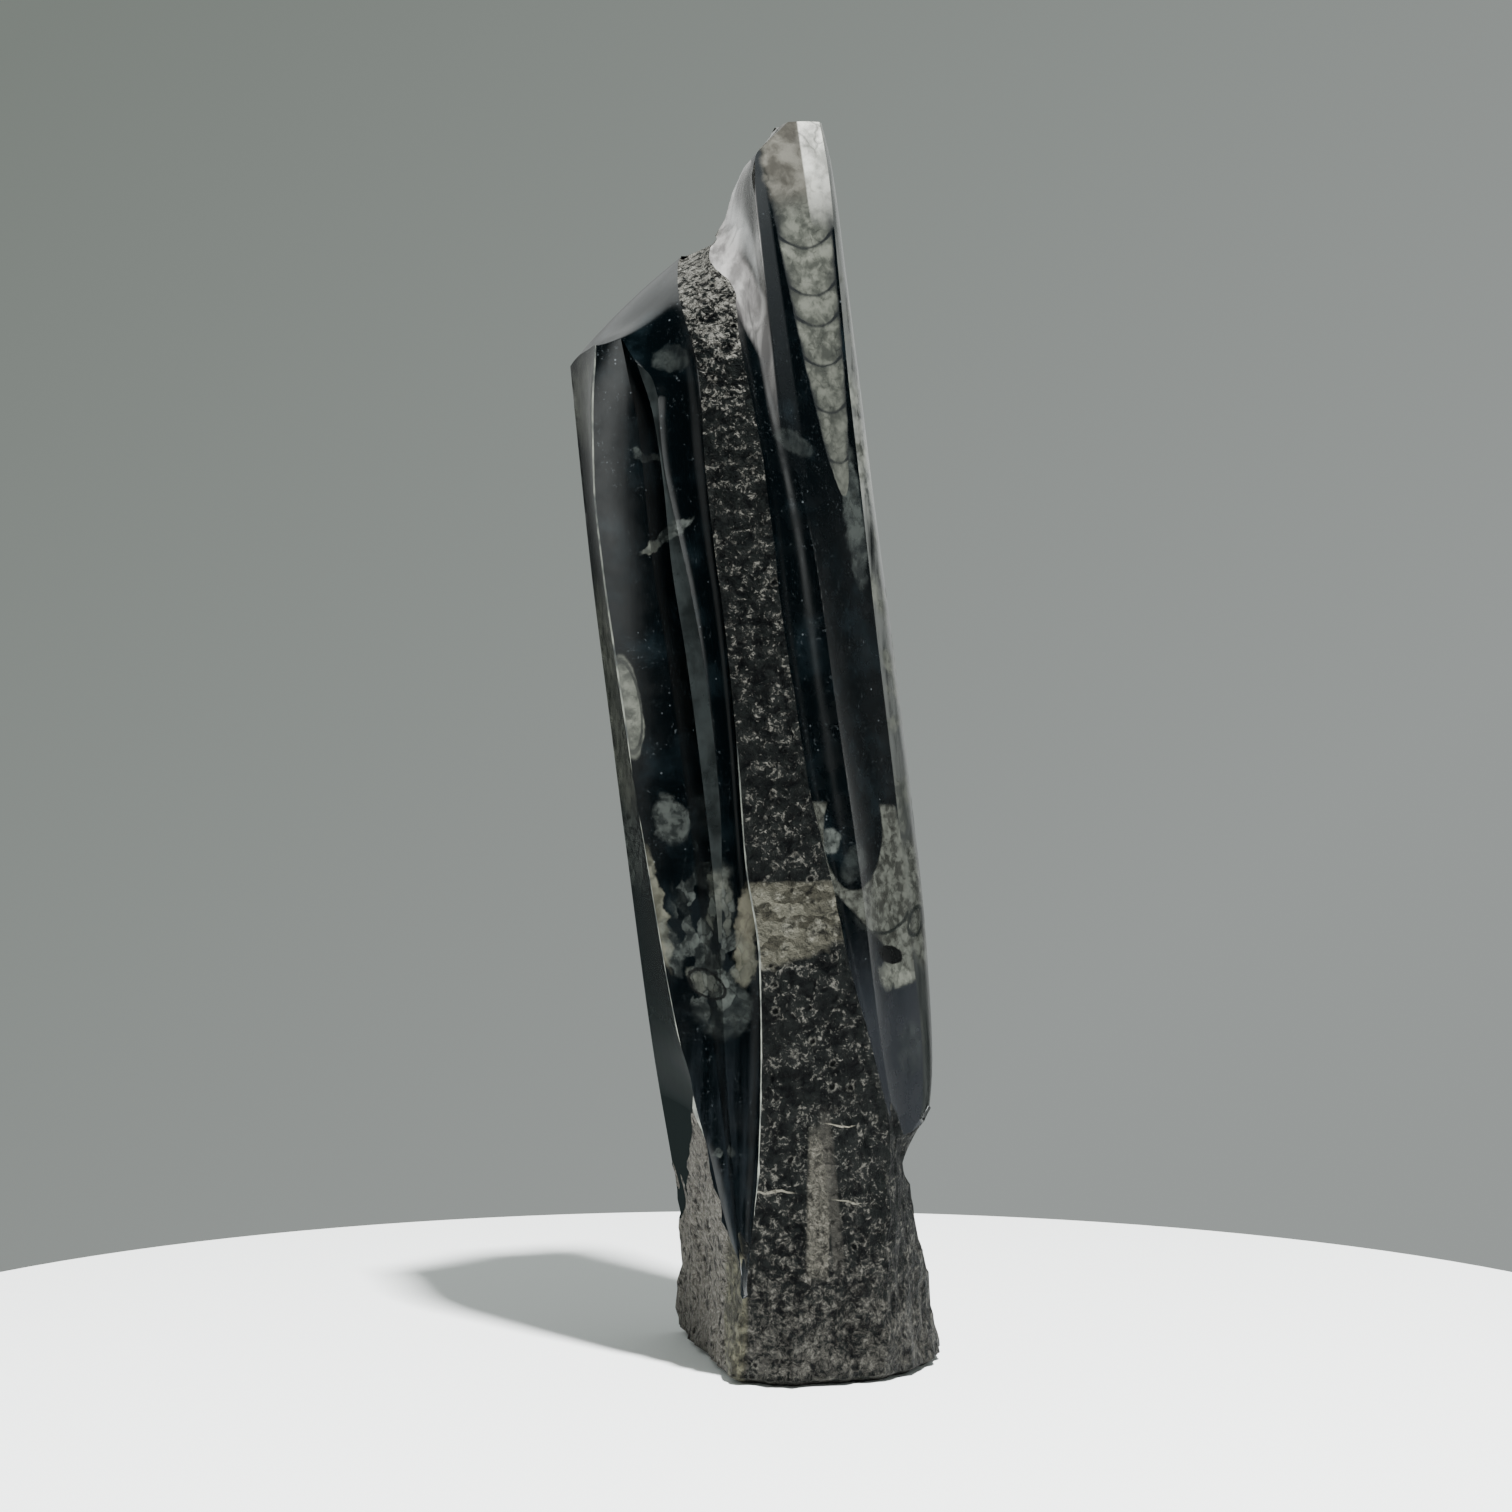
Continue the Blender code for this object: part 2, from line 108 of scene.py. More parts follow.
# Ridges of the stone, each as (height, across, depth), from the foot up.
LEFT_BACK = (
    (44, -26, 88), (68, -30, 82), (105, -36, 77), (174, -45, 73), (222, -51, 71),
    (271, -57, 69), (315, -61.5, 67), (341, -64, 66),
)
LEFT_FRONT = (
    (30, -4.2, 7), (44, -7.5, 9), (59, -11.5, 11.5), (75, -15.2, 14), (89, -19.3, 16.5),
    (116, -26.3, 18), (175, -36.8, 19.5), (240, -47, 20.5), (271, -51.4, 21),
    (299, -54.2, 22), (322, -54.6, 23), (344, -53.4, 24),
)
LEFT_POLISH = (
    (44, -25.8, 86), (55, -23.5, 66), (73, -22, 44), (94, -20.8, 17), *LEFT_FRONT[5:],
)
MIDDLE_FOOT = ((30, -4, 7), (44, -5.4, 8.3), (75, -7.9, 11.5), (117, -10.7, 13))
MIDDLE_LEFT = (
    *MIDDLE_FOOT, (147, -12.4, 13.5), (172, -14.6, 13.5), (204, -18.3, 13.8),
    (239, -22.9, 14.5), (271, -28, 15.5), (299, -30.8, 16.5), (322, -34.5, 18.3), (334, -38.4, 20),
)
MIDDLE_RIGHT = (
    *MIDDLE_FOOT, (150, -11.2, 13.1), (180, -11.4, 12.3), (206, -13.2, 12.6), (239, -17.4, 13),
    (262, -21.6, 13.8), (283, -26.2, 15), (306, -30.8, 16.4), (326, -32.5, 17.8),
)
BAND_LEFT = (
    (30, -3.5, 6), (50, -1.3, 6), (76, 1, 6.5), (111, 1.8, 7.3), (140, 1.2, 8),
    (172, -3.4, 9), (212, -6.4, 9.5), (252, -10.5, 10.3), (278, -14, 11.2),
    (306, -17, 12), (324.5, -18.1, 13), (337, -19.5, 15), (347.5, -22.2, 19),
    (358, -25, 27), (366.5, -26.3, 40), (375, -26.3, 58), (380, -23, 70),
)
BAND_RIGHT = (
    (75.5, 47.9, 25), (88, 44.2, 20.5), (112, 38, 16), (138, 30.9, 13.8), (170, 24, 13),
    (195, 18, 12.5), (226, 12.8, 12.5), (256, 8.3, 12.5), (292, 4.1, 13), (317, 0.2, 14),
    (333, -3.1, 15.5), (345.5, -5.5, 18), (358, -7, 25), (368, -10.5, 34), (381, -13, 50),
    (390.5, -9.7, 57), (405, -5.3, 58), (411, -0.5, 55), (418, 5.9, 50),
)
PEAK_FRONT = (
    (75.5, 48.3, 25.5), (102, 43.2, 22), (123, 40.1, 20.5), (170, 34.3, 19), (224, 26.5, 19),
    (272, 19.7, 19.8), (315, 10.4, 21.3), (333, 7.3, 22.5), (358, 3.9, 25), (380, 1.1, 27),
    (403, -0.8, 30), (409, 0.2, 33), (416, 6.9, 36),
)
RIM_FRONT = (
    (75.8, 48.6, 26.5), (81, 52.8, 35), (86.5, 56.3, 41), (100, 56.6, 44), (144.5, 52.7, 45),
    (194, 47.3, 44.5), (248.5, 40.8, 43.5), (293.5, 35.8, 42.5), (335, 31.1, 41.5),
    (368.5, 27.9, 40), (405, 24.1, 38.5), (420, 21.3, 38),
)
RIM_BACK = (
    (73.7, 49.4, 40), (77, 52.1, 42), (83.4, 55.9, 44), (87.5, 58.9, 46), (103, 60.2, 52),
    (144, 58.2, 55), (194, 52.9, 55), (248.5, 46.2, 54), (294, 40.2, 53),
    (336, 35, 51.5), (369.5, 30.6, 50), (406, 25.1, 48), (421, 20.8, 47),
)
BACK_RIGHT = ((60, 48, 90), (105, 46, 82), (194, 40, 78), (300, 27, 75), (421, 17, 66))
BAND_BACK_RIGHT = (
    (40, 30, 110), (90, 20, 98), (194, 11, 92), (340, -7, 85), (380, -5, 83), (405, 3, 78),
    (421, 12, 73),
)
BAND_BACK_LEFT = ((40, -2, 114), (90, -7, 100), (194, -19, 93), (340, -36, 84), (382, -30, 82))

# The foot's outline, and the rough skin below the ends of the ridges.
FOOT = {
    "left_back": ((0, -28, 110), (12, -28.4, 106), (23, -27.3, 100), (38, -27.2, 93)),
    "left_front": ((0, -8.6, 10), (15, -6.2, 8.4)),
    "band_left": ((0, -6.2, 7.6), (15, -4.6, 6.4)),
    "band_middle": ((0, 12, 0.9), (12, 13, 1.6), (30, 15, 3.6), (60, 18, 6.8), (84, 20, 9.2)),
    "band_right": ((0, 43, 12.5), (30, 44, 14), (60, 44.5, 17), (76, 45, 20)),
    "peak_front": ((0, 53, 27), (30, 50, 26), (60, 48.2, 25), (76, 47.6, 25.5)),
    "rim_front": ((0, 60, 43), (21, 56.5, 40), (56, 51.5, 37), (70, 49, 34), (76, 50.2, 35)),
    "rim_back": ((0, 63.6, 55), (7, 63.2, 54), (21, 59, 51), (38.5, 56, 49), (56, 52.8, 47),
                 (62, 52, 46), (68, 48.9, 45)),
    "back_right": ((0, 60, 92), (40, 54, 92)),
    "band_back_right": ((0, 42, 117), (20, 38, 114)),
    "band_back_left": ((0, 0, 121), (20, -1, 117)),
}

# Above the shelf the block is only as wide as the peak.
PEAK_BLOCK = {
    "left_back": ((377, -25, 80), (381.5, -11.5, 80), (391, -6, 79), (405, -1, 77),
                  (412, 3.5, 74), (420, 10.5, 71), (BLOCK_TOP, 13, 69)),
    "left_front": ((377, -25.5, 74), (381.5, -11.8, 74), (391, -6.5, 73), (405, -1.6, 71),
                   (412, 3.2, 69), (420, 10.2, 66), (BLOCK_TOP, 12.5, 65)),
    "band_left": ((381.5, -12.4, 68), (391, -7.4, 67), (405, -2.6, 66),
                  (412, 2.3, 64), (420, 9.5, 61), (BLOCK_TOP, 11.8, 60)),
    "band_middle": ((381.5, -13.6, 60), (391, -9, 62), (405, -4.3, 62),
                    (412, 0.3, 59.5), (420, 8.2, 55), (BLOCK_TOP, 10.5, 54)),
    "band_right": ((381.5, -14.6, 53), (391, -10.5, 57), (405, -6, 58),
                   (412, -0.9, 54.5), (420, 7, 48.5), (BLOCK_TOP, 9.5, 47)),
    "peak_front": ((403, -1.6, 28.4), (409, -0.6, 31.2), (416, 6.2, 34.4), (420, 10.2, 36.6),
                   (BLOCK_TOP, 11.7, 37.6)),
    "band_back_left": ((381.5, -11.5, 84), (391, -6, 83), (405, -1, 80), (420, 12, 74),
                       (BLOCK_TOP, 14, 72)),
}
SKIN_STARTS = {"band_right": 86.0, "peak_front": 98.0, "rim_front": 84.0}

# How deep each flute is hollowed, as (height, depth); below zero it swells.
LEFT_FACE_HOLLOW = ((44, 0.1), (94, 1.2), (200, 2.8), (300, 2.4), (340, 0.8))
CORNER_HOLLOW = ((30, 0.1), (75, 2), (117, 4), (172, 5.4), (240, 6.2), (300, 5.8), (340, 4.5))
MIDDLE_HOLLOW = ((150, 0.05), (200, 0.25), (320, 0.25))
PEAK_SCOOP_HOLLOW = (
    (75, 0.1), (88, 0.6), (112, 1.3), (170, 2.4), (292, 2.8), (333, 3.3), (368, 4),
    (381, 3), (395, 1.2), (411, 0.2),
)
FOSSIL_FACE_HOLLOW = (
    (75, 0.1), (88, 0.8), (140, 1.5), (224, 1.2), (292, 0.6), (333, -0.2), (380, -1), (420, -1.3),
)
RIM_HOLLOW = ((80, -0.2), (100, -0.8), (420, -1.0))
BACK_HOLLOW = ((64, -1.5), (95, 2.5), (200, 5), (340, 4), (420, 2))
BACK_RIGHT_HOLLOW = ((88, -1.5), (112, 2), (200, 5), (340, 4), (420, 2))

# Each flute: left ridge, right ridge, lowest and highest section, spacing of the
# sections, hollow, faces across it, where a creased valley lies, and its finish.
FLUTES = {
    "left_face": (LEFT_BACK, LEFT_POLISH, 45, 380, 5.0, LEFT_FACE_HOLLOW, 16, 0, "left side"),
    "corner_flute": (LEFT_FRONT, MIDDLE_LEFT, 30, 372, 4.0, CORNER_HOLLOW, 24, 2 / 3, "left front"),
    "middle_flat": (MIDDLE_LEFT, MIDDLE_RIGHT, 146, 372, 5.0, MIDDLE_HOLLOW, 4, 0, "honed flat"),
    "right_flute": (BAND_RIGHT, PEAK_FRONT, 76, 426, 3.0, PEAK_SCOOP_HOLLOW, 26, 0, "right front"),
    "fossil_face": (PEAK_FRONT, RIM_FRONT, 76, 424, 4.0, FOSSIL_FACE_HOLLOW, 22, 0, "right front"),
    "right_rim": (RIM_FRONT, RIM_BACK, 84, 424, 4.0, RIM_HOLLOW, 10, 0, "rim"),
    "back_right_flute": (RIM_BACK, BACK_RIGHT, 88, 430, 5.0, BACK_RIGHT_HOLLOW, 20, 0, "back"),
    "back_middle_flute": (BACK_RIGHT, BAND_BACK_RIGHT, 64, 430, 5.0, BACK_HOLLOW, 20, 0, "back"),
    "back_left_flute": (BAND_BACK_LEFT, LEFT_BACK, 64, 400, 5.0, BACK_HOLLOW, 22, 0, "back"),
}

# The left flute follows its ridges over a span (lowest, highest, spacing) and then
# curls over backwards to make the shoulder, which is given in rising sections:
# (left end), (right end), hollow.
LEFT_FLUTE_SPAN = (30.0, 318.0, 4.0)
LEFT_FLUTE_FACES = 24
STEADY_SECTIONS = 6
SHOULDER_STEP = 0.125
LEFT_FLUTE_HOLLOW = ((30, 0.1), (44, 0.4), (75, 0.9), (117, 1.2), (172, 1.1), (240, 1.3), (306, 1.8))
SHOULDER = (
    ((326, -32.5, 17.8), (324.5, -18.1, 13), 2.2),
    ((333, -35.2, 19), (337, -19.5, 15), 2.6),
    ((340.5, -43.5, 22.5), (347.5, -22.2, 19), 3.0),
    ((343.8, -53.4, 25), (358, -25, 27), 2.6),
    ((343, -58, 40), (366.5, -26.4, 40), 1.2),
    ((342, -61.5, 54), (375, -26.8, 58), -0.8),
    ((340.6, -64, 66), (381.2, -22.4, 72), -1.7),
    ((337, -66, 84), (382.5, -19, 90), -0.9),
)
# Ridges that the last grinding broke to a narrow flat: name, ridge, heights, which
# way the flat faces (across, depth), how deep it goes, and its finish.
BROKEN_RIDGES = (
    ("left_ridge_flat", LEFT_FRONT, (186, 350), (-0.5, -0.86), 0.4, "ridge highlight"),
    ("left_ridge_foot", LEFT_FRONT, (80, 192), (-0.5, -0.86), 0.16, "ridge highlight"),
    ("peak_ridge_flat", PEAK_FRONT, (386, 414), (-0.6, -0.8), 0.3, "right front"),
    ("band_left_flat", BAND_LEFT, (40, 216), (-0.35, -0.94), 0.12, "ridge highlight"),
)

# Every finish: what it is called, how rough its gloss is, and how strongly it mirrors.
FINISHES = {
    # broken, never ground: dull, almost black, with the small shadows of its grain
    "rough skin": ("fossil limestone, natural broken skin", 0.6, 0.1),
    # ground flat, polished once: a dim, cloudy gloss that fades out above the base
    "left side": ("black limestone, lightly polished", 0.12, 0.12),
    # ground hollow and buffed to a gloss: deep black with long soft reflections
    "left front": ("black limestone, hand polished flutes", 0.15, 0.5),
    # the same flutes, a little softer: the shells and the calcite show through, and the light in the scoop
    # is a painted reflection
    "right front": ("orthoceras limestone, hand polished flutes", 0.24, 0.5),
    # polished flutes that see less of the light: black with thin pale streaks
    "back": ("black limestone, hand polished back", 0.14, 0.5),
    # polished edge full of fine calcite: a grey line of light down the stone's side, partly a painted
    # reflection
    "rim": ("calcite-veined limestone, polished edge, painted sheen", 0.16, 0.5),
    # a narrow flat ground along a ridge: a thin pale line, a painted highlight
    "ridge highlight": ("limestone ridge, painted highlight", 0.35, 0.5),
    # smoothed but not buffed: a soft grey strip between two black flutes, its grey a painted sheen
    "honed flat": ("black limestone, honed, painted sheen", 0.32, 0.25),
}


# ---------------------------------------------------------------- shape helpers


def tangents(heights, values):
    """Slopes of a curve that passes through the values without overshooting them."""
    steps = [(b - a) / (q - p) for p, q, a, b in zip(heights, heights[1:], values, values[1:])]
    slopes = [steps[0]]
    for before, after in zip(steps, steps[1:]):
        even = before * after > 0
        slopes.append(2 * before * after / (before + after) if even else 0.0)
    slopes.append(steps[-1])
    return slopes


def smooth_value(heights, values, slopes, height):
    """The curve's value at a height; beyond its ends it runs straight on."""
    if height <= heights[0]:
        return values[0] + slopes[0] * (height - heights[0])
    if height >= heights[-1]:
        return values[-1] + slopes[-1] * (height - heights[-1])
    at = max(i for i, known in enumerate(heights[:-1]) if known <= height)
    span = heights[at + 1] - heights[at]
    t = (height - heights[at]) / span
    rise, fall = t * t * (3 - 2 * t), (1 - t) * (1 - t) * (1 + 2 * t)
    ease = t * (1 - t) * ((1 - t) * slopes[at] - t * slopes[at + 1]) * span
    return values[at] * fall + values[at + 1] * rise + ease


def curve(points):
    """A function of height that gives the curve's other values there."""
    heights = [point[0] for point in points]
    columns = [[point[i] for point in points] for i in range(1, len(points[0]))]
    slopes = [tangents(heights, column) for column in columns]

    def at(height):
        found = [smooth_value(heights, c, s, height) for c, s in zip(columns, slopes)]
        return found[0] if len(found) == 1 else found

    return at


def ridge(points):
    plan = curve(points)

    def at(height):
        across, depth = plan(height)
        return Vector((across, depth, height))

    return at


def spaced(low, high, step):
    count = max(1, round((high - low) / step))
    return [low + (high - low) * i / count for i in range(count + 1)]


def select_only(obj):
    for other in bpy.context.view_layer.objects:
        other.select_set(False)
    obj.select_set(True)
    bpy.context.view_layer.objects.active = obj


def place_points(obj, points):
    """Moves the mesh's points to these places, given in the tables' millimetres."""
    flat = []
    for point in points:
        flat += [point.x * MM, (point.y - CENTRE_DEPTH) * MM, point.z * MM]
    obj.data.vertices.foreach_set("co", flat)
    obj.data.update()


# ------------------------------------------------------------ the rough block


def band_middle():
    """The line midway between the front band's two ridges."""
    other = curve(BAND_RIGHT)
    points = []
    for height, across, depth in BAND_LEFT:
        beside = other(height)
        points.append((height, (across + beside[0]) / 2, (depth + beside[1]) / 2))
    return points


def block_rails():
    """The corners of the rough block round it from the left back, each with the
    number of faces up to the next one, how far the skin swells between them above
    the base, and how ragged it is at this corner and at the next."""
    def rail(key, points, out):
        low = FOOT[key]
        high = PEAK_BLOCK.get(key, ())
        start = SKIN_STARTS.get(key, low[-1][0] + 3)
        end = high[0][0] - 1.2 if high else BLOCK_TOP
        middle = [(z, x + out[0], y + out[1]) for z, x, y in points if start < z <= end]
        if high and middle[-1][0] < end - 1:
            middle.append((end, middle[-1][1], middle[-1][2]))
        return ridge([*low, *middle, *high])

    corners = (
        ("left_back", LEFT_BACK, (-0.9, 0.6), 52, 0.5, 1, 1),
        ("left_front", LEFT_FRONT, (-0.5, -0.9), 6, 0, 1, 1),
        ("band_left", BAND_LEFT, (0, 0), 24, 0.2, 0, 1),
        ("band_middle", band_middle(), (0, -0.4), 28, 0.5, 1, 0.4),
        ("band_right", BAND_RIGHT, (0, 0), 13, 0, 1, 1),
        ("peak_front", PEAK_FRONT, (-0.3, -1.8), 16, 2.4, 1, 1),
        ("rim_front", RIM_FRONT, (1.4, -1.4), 10, 2.0, 1, 1),
        ("rim_back", RIM_BACK, (1.4, 0.2), 20, 0.5, 1, 1),
        ("back_right", BACK_RIGHT, (0.8, 0.8), 16, 0.5, 1, 1),
        ("band_back_right", BAND_BACK_RIGHT, (0, 0), 22, 0.5, 0.4, 0.4),
        ("band_back_left", BAND_BACK_LEFT, (0, 0), 18, 0.5, 1, 1),
    )
    return [(rail(key, points, out), *rest) for key, points, out, *rest in corners]


def block_heights():
    rows = spaced(0.0, 104.0, 1.25) + spaced(104.0, 384.0, 1.6)[1:]
    return rows + spaced(384.0, BLOCK_TOP, 3.0)[1:]


def relief(point, base_lumps, band_lumps, grain):
    """How far the rough skin stands out at a point, in millimetres."""
    coarse = noise.noise(point / LUMP_SIZE)
    middle = noise.noise(point / LUMP_SIZE * 2.3 + Vector((7, 3, 5)))
    blend = max(0.0, min(1.0, 1.4 - point.z / BASE_HEIGHT))
    streak = Vector((point.x, point.y, point.z * (1.0 - 0.55 * blend)))
    ledge = abs(noise.noise(streak / LUMP_SIZE + Vector((1, 9, 4))))
    size = band_lumps + (base_lumps - band_lumps) * blend
    broad = size * (0.9 * coarse + 0.6 * middle - 1.2 * ledge + 0.25)
    chip = abs(noise.noise(point / CHIP_SIZE)) + 0.5 * abs(noise.noise(point / FINE_CHIP_SIZE))
    pit = max(0.0, noise.noise(point / PIT_SIZE + Vector((11, 2, 8))) - 0.22)
    return broad + grain * (0.55 + 0.6 * blend) * (0.35 - 1.1 * chip) - 1.6 * grain * pit


def block_ring(rails, height, roughness):
    """One level outline of the block, with the natural skin on it."""
    outline, ragged = [], []
    above = max(0.0, min(1.0, (height - 84) / 30))
    corners = [(rail(height), *rest) for rail, *rest in rails]
    for i, (corner, count, swell, start, end) in enumerate(corners):
        chord = corners[(i + 1) % len(corners)][0] - corner
        outward = Vector((chord.y, -chord.x, 0)).normalized()
        width = chord.length
        for step in range(count):
            u = step / count
            outline.append(corner + chord * u + outward * swell * above * 4 * u * (1 - u))
            near_start = start + (1 - start) * min(1.0, width * u / STEADY_EDGE)
            near_end = end + (1 - end) * min(1.0, width * (1 - u) / STEADY_EDGE)
            ragged.append(min(near_start, near_end) if height > 33 else 1.0)
    total = len(outline)
    rough = []
    for i, point in enumerate(outline):
        across = outline[(i + 3) % total] - outline[i - 3]
        outward = Vector((across.y, -across.x, 0)).normalized()
        rough.append(point + outward * relief(point, *roughness) * ragged[i])
    return rough


def foot_rings(outline):
    """The flat underside and the worn edge round it, lifted under the right corner."""
    centre = sum(outline, Vector()) / len(outline)
    flat, edge = [], []
    for point in outline:
        inner = centre + (point - centre) * 0.9
        flat.append(Vector((inner.x, inner.y, 0)))
        wear = FOOT_WEAR * max(0.0, noise.noise(point / FOOT_WEAR_SIZE)) + 0.25
        corner = max(0.0, 1 - (point - LIFTED_CORNER).length / LIFTED_REACH)
        edge.append(Vector((point.x, point.y, wear + LIFT * corner)))
    return [flat, edge]


def make_block(roughness):
    """The rough block: a cylinder with many sides whose upright edges are cut into
    rows, and whose points are then moved out to the natural skin."""
    rails = block_rails()
    heights = block_heights()
    rings = foot_rings(block_ring(rails, heights[0], roughness))
    rings += [block_ring(rails, height, roughness) for height in heights[1:]]
    columns, rows = len(rings[0]), len(rings)
    bpy.ops.mesh.primitive_cylinder_add(
        vertices=columns, radius=0.05, depth=1.0, end_fill_type="NGON", location=(0, 0, 0.5)
    )
    block = bpy.context.object
    select_only(block)
    bpy.ops.object.mode_set(mode="EDIT")
    bpy.ops.mesh.select_mode(type="EDGE")
    bpy.ops.mesh.select_all(action="DESELECT")
    mesh = bmesh.from_edit_mesh(block.data)
    for edge in mesh.edges:
        edge.select_set(abs(edge.verts[0].co.z - edge.verts[1].co.z) > 0.5)
    bmesh.update_edit_mesh(block.data)
    bpy.ops.mesh.subdivide(number_cuts=rows - 2)
    bpy.ops.object.mode_set(mode="OBJECT")
    places = []
    for vertex in block.data.vertices:
        row = round((vertex.co.z + 0.5) * (rows - 1))
        turn = math.atan2(vertex.co.y, vertex.co.x) / (2 * math.pi)
        places.append(rings[row][round(turn * columns) % columns])
    bpy.ops.object.transform_apply(location=True, rotation=True, scale=True)
    place_points(block, places)
    return block


# ----------------------------------------------------------------- the flutes


def hollow_section(left, right, along, inward, hollow, count, valley=0.0):
    """The ground curve between two ridges, with a lip past each of them."""
    chord = right - left
    ground = []
    for i in range(count + 1):
        u = i / count
        bow = 4 * u * (1 - u)
        if valley:
            side = u / valley if u < valley else (1 - u) / (1 - valley)
            bow = side * (1.25 - 0.25 * side)
        ground.append(left + chord * u + inward * hollow * bow)
    lift = inward * LIP * (0.35 + 3.0 * max(hollow, 0.0) / max(chord.length, 6.0))
    return [left - along * LIP - lift, *ground, right + along * LIP - lift]


def flute_sections(left, right, heights, hollow, count, valley):
    """Rising sections, and the way out of the stone at each of them."""
    depth = curve(hollow)
    steady = heights[0] + STEADY_HEIGHT
    rows, ways = [], []
    for height in heights:
        guide = max(height, steady)
        along = (right(guide) - left(guide)) * Vector((1, 1, 0))
        along.normalize()
        inward = Vector((-along.y, along.x, 0))
        ends = left(height), right(height)
        rows.append(hollow_section(*ends, along, inward, depth(height), count, valley))
        ways.append(inward * -REACH)
    return rows, ways


def left_flute_sections():
    """The left flute's sections, and then the shoulder's, on one smooth sweep."""
    left, right, hollow = ridge(MIDDLE_RIGHT), ridge(BAND_LEFT), curve(LEFT_FLUTE_HOLLOW)
    sections = [(left(z), right(z), hollow(z)) for z in spaced(*LEFT_FLUTE_SPAN)]
    sweep = curve([
        (number, start[1], start[2], start[0], end[1], end[2], end[0], depth)
        for number, (start, end, depth) in enumerate(SHOULDER)
    ])
    for step in spaced(0.0, len(SHOULDER) - 1.0, SHOULDER_STEP):
        values = sweep(step)
        sections.append((Vector(values[0:3]), Vector(values[3:6]), values[6]))
    middles = [(start + end) / 2 for start, end, _ in sections]
    rows, ways = [], []
    for i, (start, end, depth) in enumerate(sections):
        travel = middles[min(i + 2, len(middles) - 1)] - middles[max(i - 2, 0)]
        steady_start, steady_end, _ = sections[max(i, STEADY_SECTIONS)]
        along = (steady_end - steady_start).normalized()
        inward = travel.cross(along).normalized()
        rows.append(hollow_section(start, end, along, inward, depth, LEFT_FLUTE_FACES))
        ways.append(inward * -REACH)
    return rows, ways


def broken_ridge_sections(points, low, high, facing, depth):
    """Sections of the narrow flat that runs down a ridge."""
    lit_crest = ridge(points)
    outward = Vector((*facing, 0)).normalized()
    along = Vector((-outward.y, outward.x, 0)) * FLAT_HALF_WIDTH
    rows, ways = [], []
    for height in spaced(low, high, 4.0):
        ends = min(1.0, (height - low) / 30.0, (high - height) / 12.0 + 0.2)
        floor = lit_crest(height) - outward * (depth * (2 * ends - 1))
        rows.append([floor - along, floor - along * 0.5, floor, floor + along * 0.5, floor + along])
        ways.append(outward * FLAT_REACH)
    return rows, ways


def make_cutter(name, rows, ways):
    """A grid whose points are moved onto the ground surface and which is then
    extruded out of the stone, so that it takes away all that lies before it."""
    out = ways[0].normalized()
    lead = [point + out * LEAD_OUT + Vector((0, 0, -LEAD_DOWN)) for point in rows[0]]
    rows = [lead, *rows]
    ways = [ways[0], *ways]
    bpy.ops.mesh.primitive_grid_add(
        x_subdivisions=len(rows[0]) - 1, y_subdivisions=len(rows) - 1, size=1.0
    )
    cutter = bpy.context.object
    cutter.name = name
    select_only(cutter)
    row_of = cutter.data.attributes.new("row", "INT", "POINT")
    places, numbers = [], []
    for vertex in cutter.data.vertices:
        column = round((vertex.co.x + 0.5) * (len(rows[0]) - 1))
        row = round((vertex.co.y + 0.5) * (len(rows) - 1))
        places.append(rows[row][column])
        numbers.append(row)
    place_points(cutter, places)
    row_of.data.foreach_set("value", numbers)
    bpy.ops.object.mode_set(mode="EDIT")
    bpy.ops.mesh.select_all(action="SELECT")
    bpy.ops.mesh.extrude_region_move()
    bpy.ops.object.mode_set(mode="OBJECT")
    row_of = cutter.data.attributes["row"]
    for vertex in cutter.data.vertices:
        if vertex.select:
            vertex.co += ways[row_of.data[vertex.index].value] * MM
    cutter.data.attributes.remove(row_of)
    bpy.ops.object.mode_set(mode="EDIT")
    bpy.ops.mesh.select_all(action="SELECT")
    bpy.ops.mesh.quads_convert_to_tris()
    bpy.ops.mesh.normals_make_consistent(inside=False)
    bpy.ops.object.mode_set(mode="OBJECT")
    return cutter


def number_faces(obj, finish, flute):
    """Gives every face its finish, and the number of the flute that it belongs to."""
    for name, *_ in FINISHES.values():
        obj.data.materials.append(bpy.data.materials[name])
    count = len(obj.data.polygons)
    obj.data.polygons.foreach_set("material_index", [list(FINISHES).index(finish)] * count)
    numbers = obj.data.attributes.new("flute", "INT", "FACE")
    numbers.data.foreach_set("value", [flute] * count)


def take_away(stone, cutter, finish):
    """Cuts the solid out of the stone; the new faces get a flute number of their own."""
    number_faces(cutter, finish, stone["flutes"] + 1)
    stone["flutes"] += 1
    select_only(stone)
    cut = stone.modifiers.new("cut", "BOOLEAN")
    cut.object = cutter
    cut.operation = "DIFFERENCE"
    cut.solver = "MANIFOLD"
    bpy.ops.object.modifier_apply(modifier=cut.name)
    bpy.data.objects.remove(cutter)


def sharpen_real_edges(stone):
    """Keeps an edge sharp where two flutes meet, and at a ground crease."""
    mesh = bmesh.new()
    mesh.from_mesh(stone.data)
    bmesh.ops.triangulate(mesh, faces=mesh.faces)
    flute = mesh.faces.layers.int["flute"]
    for face in mesh.faces:
        face.smooth = True
    for edge in mesh.edges:
        if len(edge.link_faces) != 2:
            continue
        one, other = edge.link_faces
        sliver = min(one.calc_area(), other.calc_area()) < SLIVER
        bent = edge.calc_face_angle(0.0) > CREASE
        crease = one.material_index > 0 and not sliver and bent
        edge.smooth = one[flute] == other[flute] and not crease
    mesh.to_mesh(stone.data)
    mesh.free()


